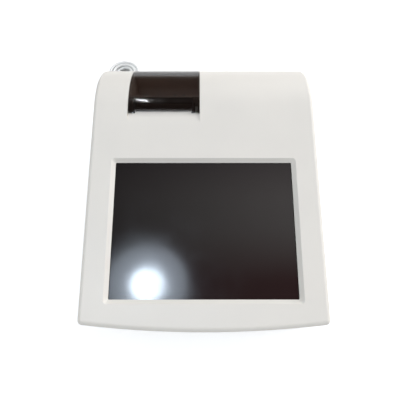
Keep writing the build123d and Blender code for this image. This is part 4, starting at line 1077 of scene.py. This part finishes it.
    def table(self) -> None:
        """Makes the white table, which keeps the soft shadow."""
        bm = bmesh.new()
        bmesh.ops.create_grid(bm, x_segments=2, y_segments=2, size=self.table_half)
        mesh = bpy.data.meshes.new("table")
        bm.to_mesh(mesh)
        bm.free()
        table = bpy.data.objects.new("table", mesh)
        bpy.context.scene.collection.objects.link(table)
        material = bpy.data.materials.new("table_white")
        material.use_nodes = True
        tree = material.node_tree
        tree.nodes.clear()
        out = tree.nodes.new("ShaderNodeOutputMaterial")
        diffuse, glow = tree.nodes.new("ShaderNodeBsdfDiffuse"), tree.nodes.new("ShaderNodeEmission")
        diffuse.inputs["Color"].default_value = (*(self.table_tone,) * 3, 1.0)
        strength = tree.nodes.new("ShaderNodeMath")
        strength.operation = "MULTIPLY"
        strength.inputs[1].default_value = self.table_glow
        both = tree.nodes.new("ShaderNodeAddShader")
        tree.links.new(self.seen_rays(tree), strength.inputs[0])
        tree.links.new(strength.outputs["Value"], glow.inputs["Strength"])
        tree.links.new(diffuse.outputs["BSDF"], both.inputs[0])
        tree.links.new(glow.outputs["Emission"], both.inputs[1])
        tree.links.new(both.outputs["Shader"], out.inputs["Surface"])
        mesh.materials.append(material)

    def lamp(self, name: str, place: Point, towards: Point, size: tuple[float, float], power: float,
             colour: Colour = (1.0, 1.0, 1.0), form: LampForm = LampForm.RECTANGLE) -> None:
        """Hangs a soft lamp.

        Args:
            name: The lamp's name.
            place: Where it hangs, in metres.
            towards: The point that it shines at, in metres.
            size: Its width and height, in metres.
            power: Its power, in watts.
            colour: Its colour.
            form: Its outline.
        """
        data = bpy.data.lights.new(name, "AREA")
        data.shape = form.value
        data.size, data.size_y = size
        data.energy = power
        data.color = colour
        lamp = bpy.data.objects.new(name, data)
        lamp.location = place
        lamp.rotation_euler = (Vector(towards) - Vector(place)).to_track_quat("-Z", "Y").to_euler()
        bpy.context.scene.collection.objects.link(lamp)

    def build(self) -> None:
        """Sets up the whole studio."""
        self.camera()
        self.backdrop()
        self.table()
        aim = (0.0, 0.0, 0.06)
        soft = (1.1, 1.1)
        self.lamp("right_soft", (1.5, 0.35, 1.0), aim, soft, 12.0)
        self.lamp("rear_soft", (1.2, 1.3, 0.8), aim, soft, 15.0)
        self.lamp("left_soft", (-1.6, 0.1, 1.1), aim, soft, 4.0, (0.96, 1.0, 0.98))
        self.lamp("front_soft", (-0.2, -1.8, 1.1), aim, soft, 1.5, (1.0, 0.99, 0.97))
        overhead, spot = (-0.2116, -0.3075, 1.2349), (-0.0498, -0.0997, 0.0642)
        cool = (0.74, 0.86, 1.0)
        self.lamp("ceiling_lamp", overhead, spot, (0.13, 0.13), 2.2, cool, LampForm.ELLIPSE)
        self.lamp("ceiling_glow", overhead, spot, (0.32, 0.32), 1.5, cool, LampForm.ELLIPSE)
        self.lamp("lid_lamp", (-0.2355, 0.582, 1.178), (-0.0603, 0.073, 0.1053), (0.014, 0.12), 0.65)
        bpy.context.scene.view_settings.view_transform = "Standard"


def main() -> None:
    """Builds the studio and the analyzer's sub-assemblies in order."""
    logging.basicConfig(level=logging.INFO, format="%(name)s: %(message)s")
    Studio().build()
    for part in (PowerLead(), Housing(), Display(), Printer(), Reader(), Electronics()):
        part.build()
        log.info("%s done", type(part).__name__)


if __name__ == "__main__":
    main()
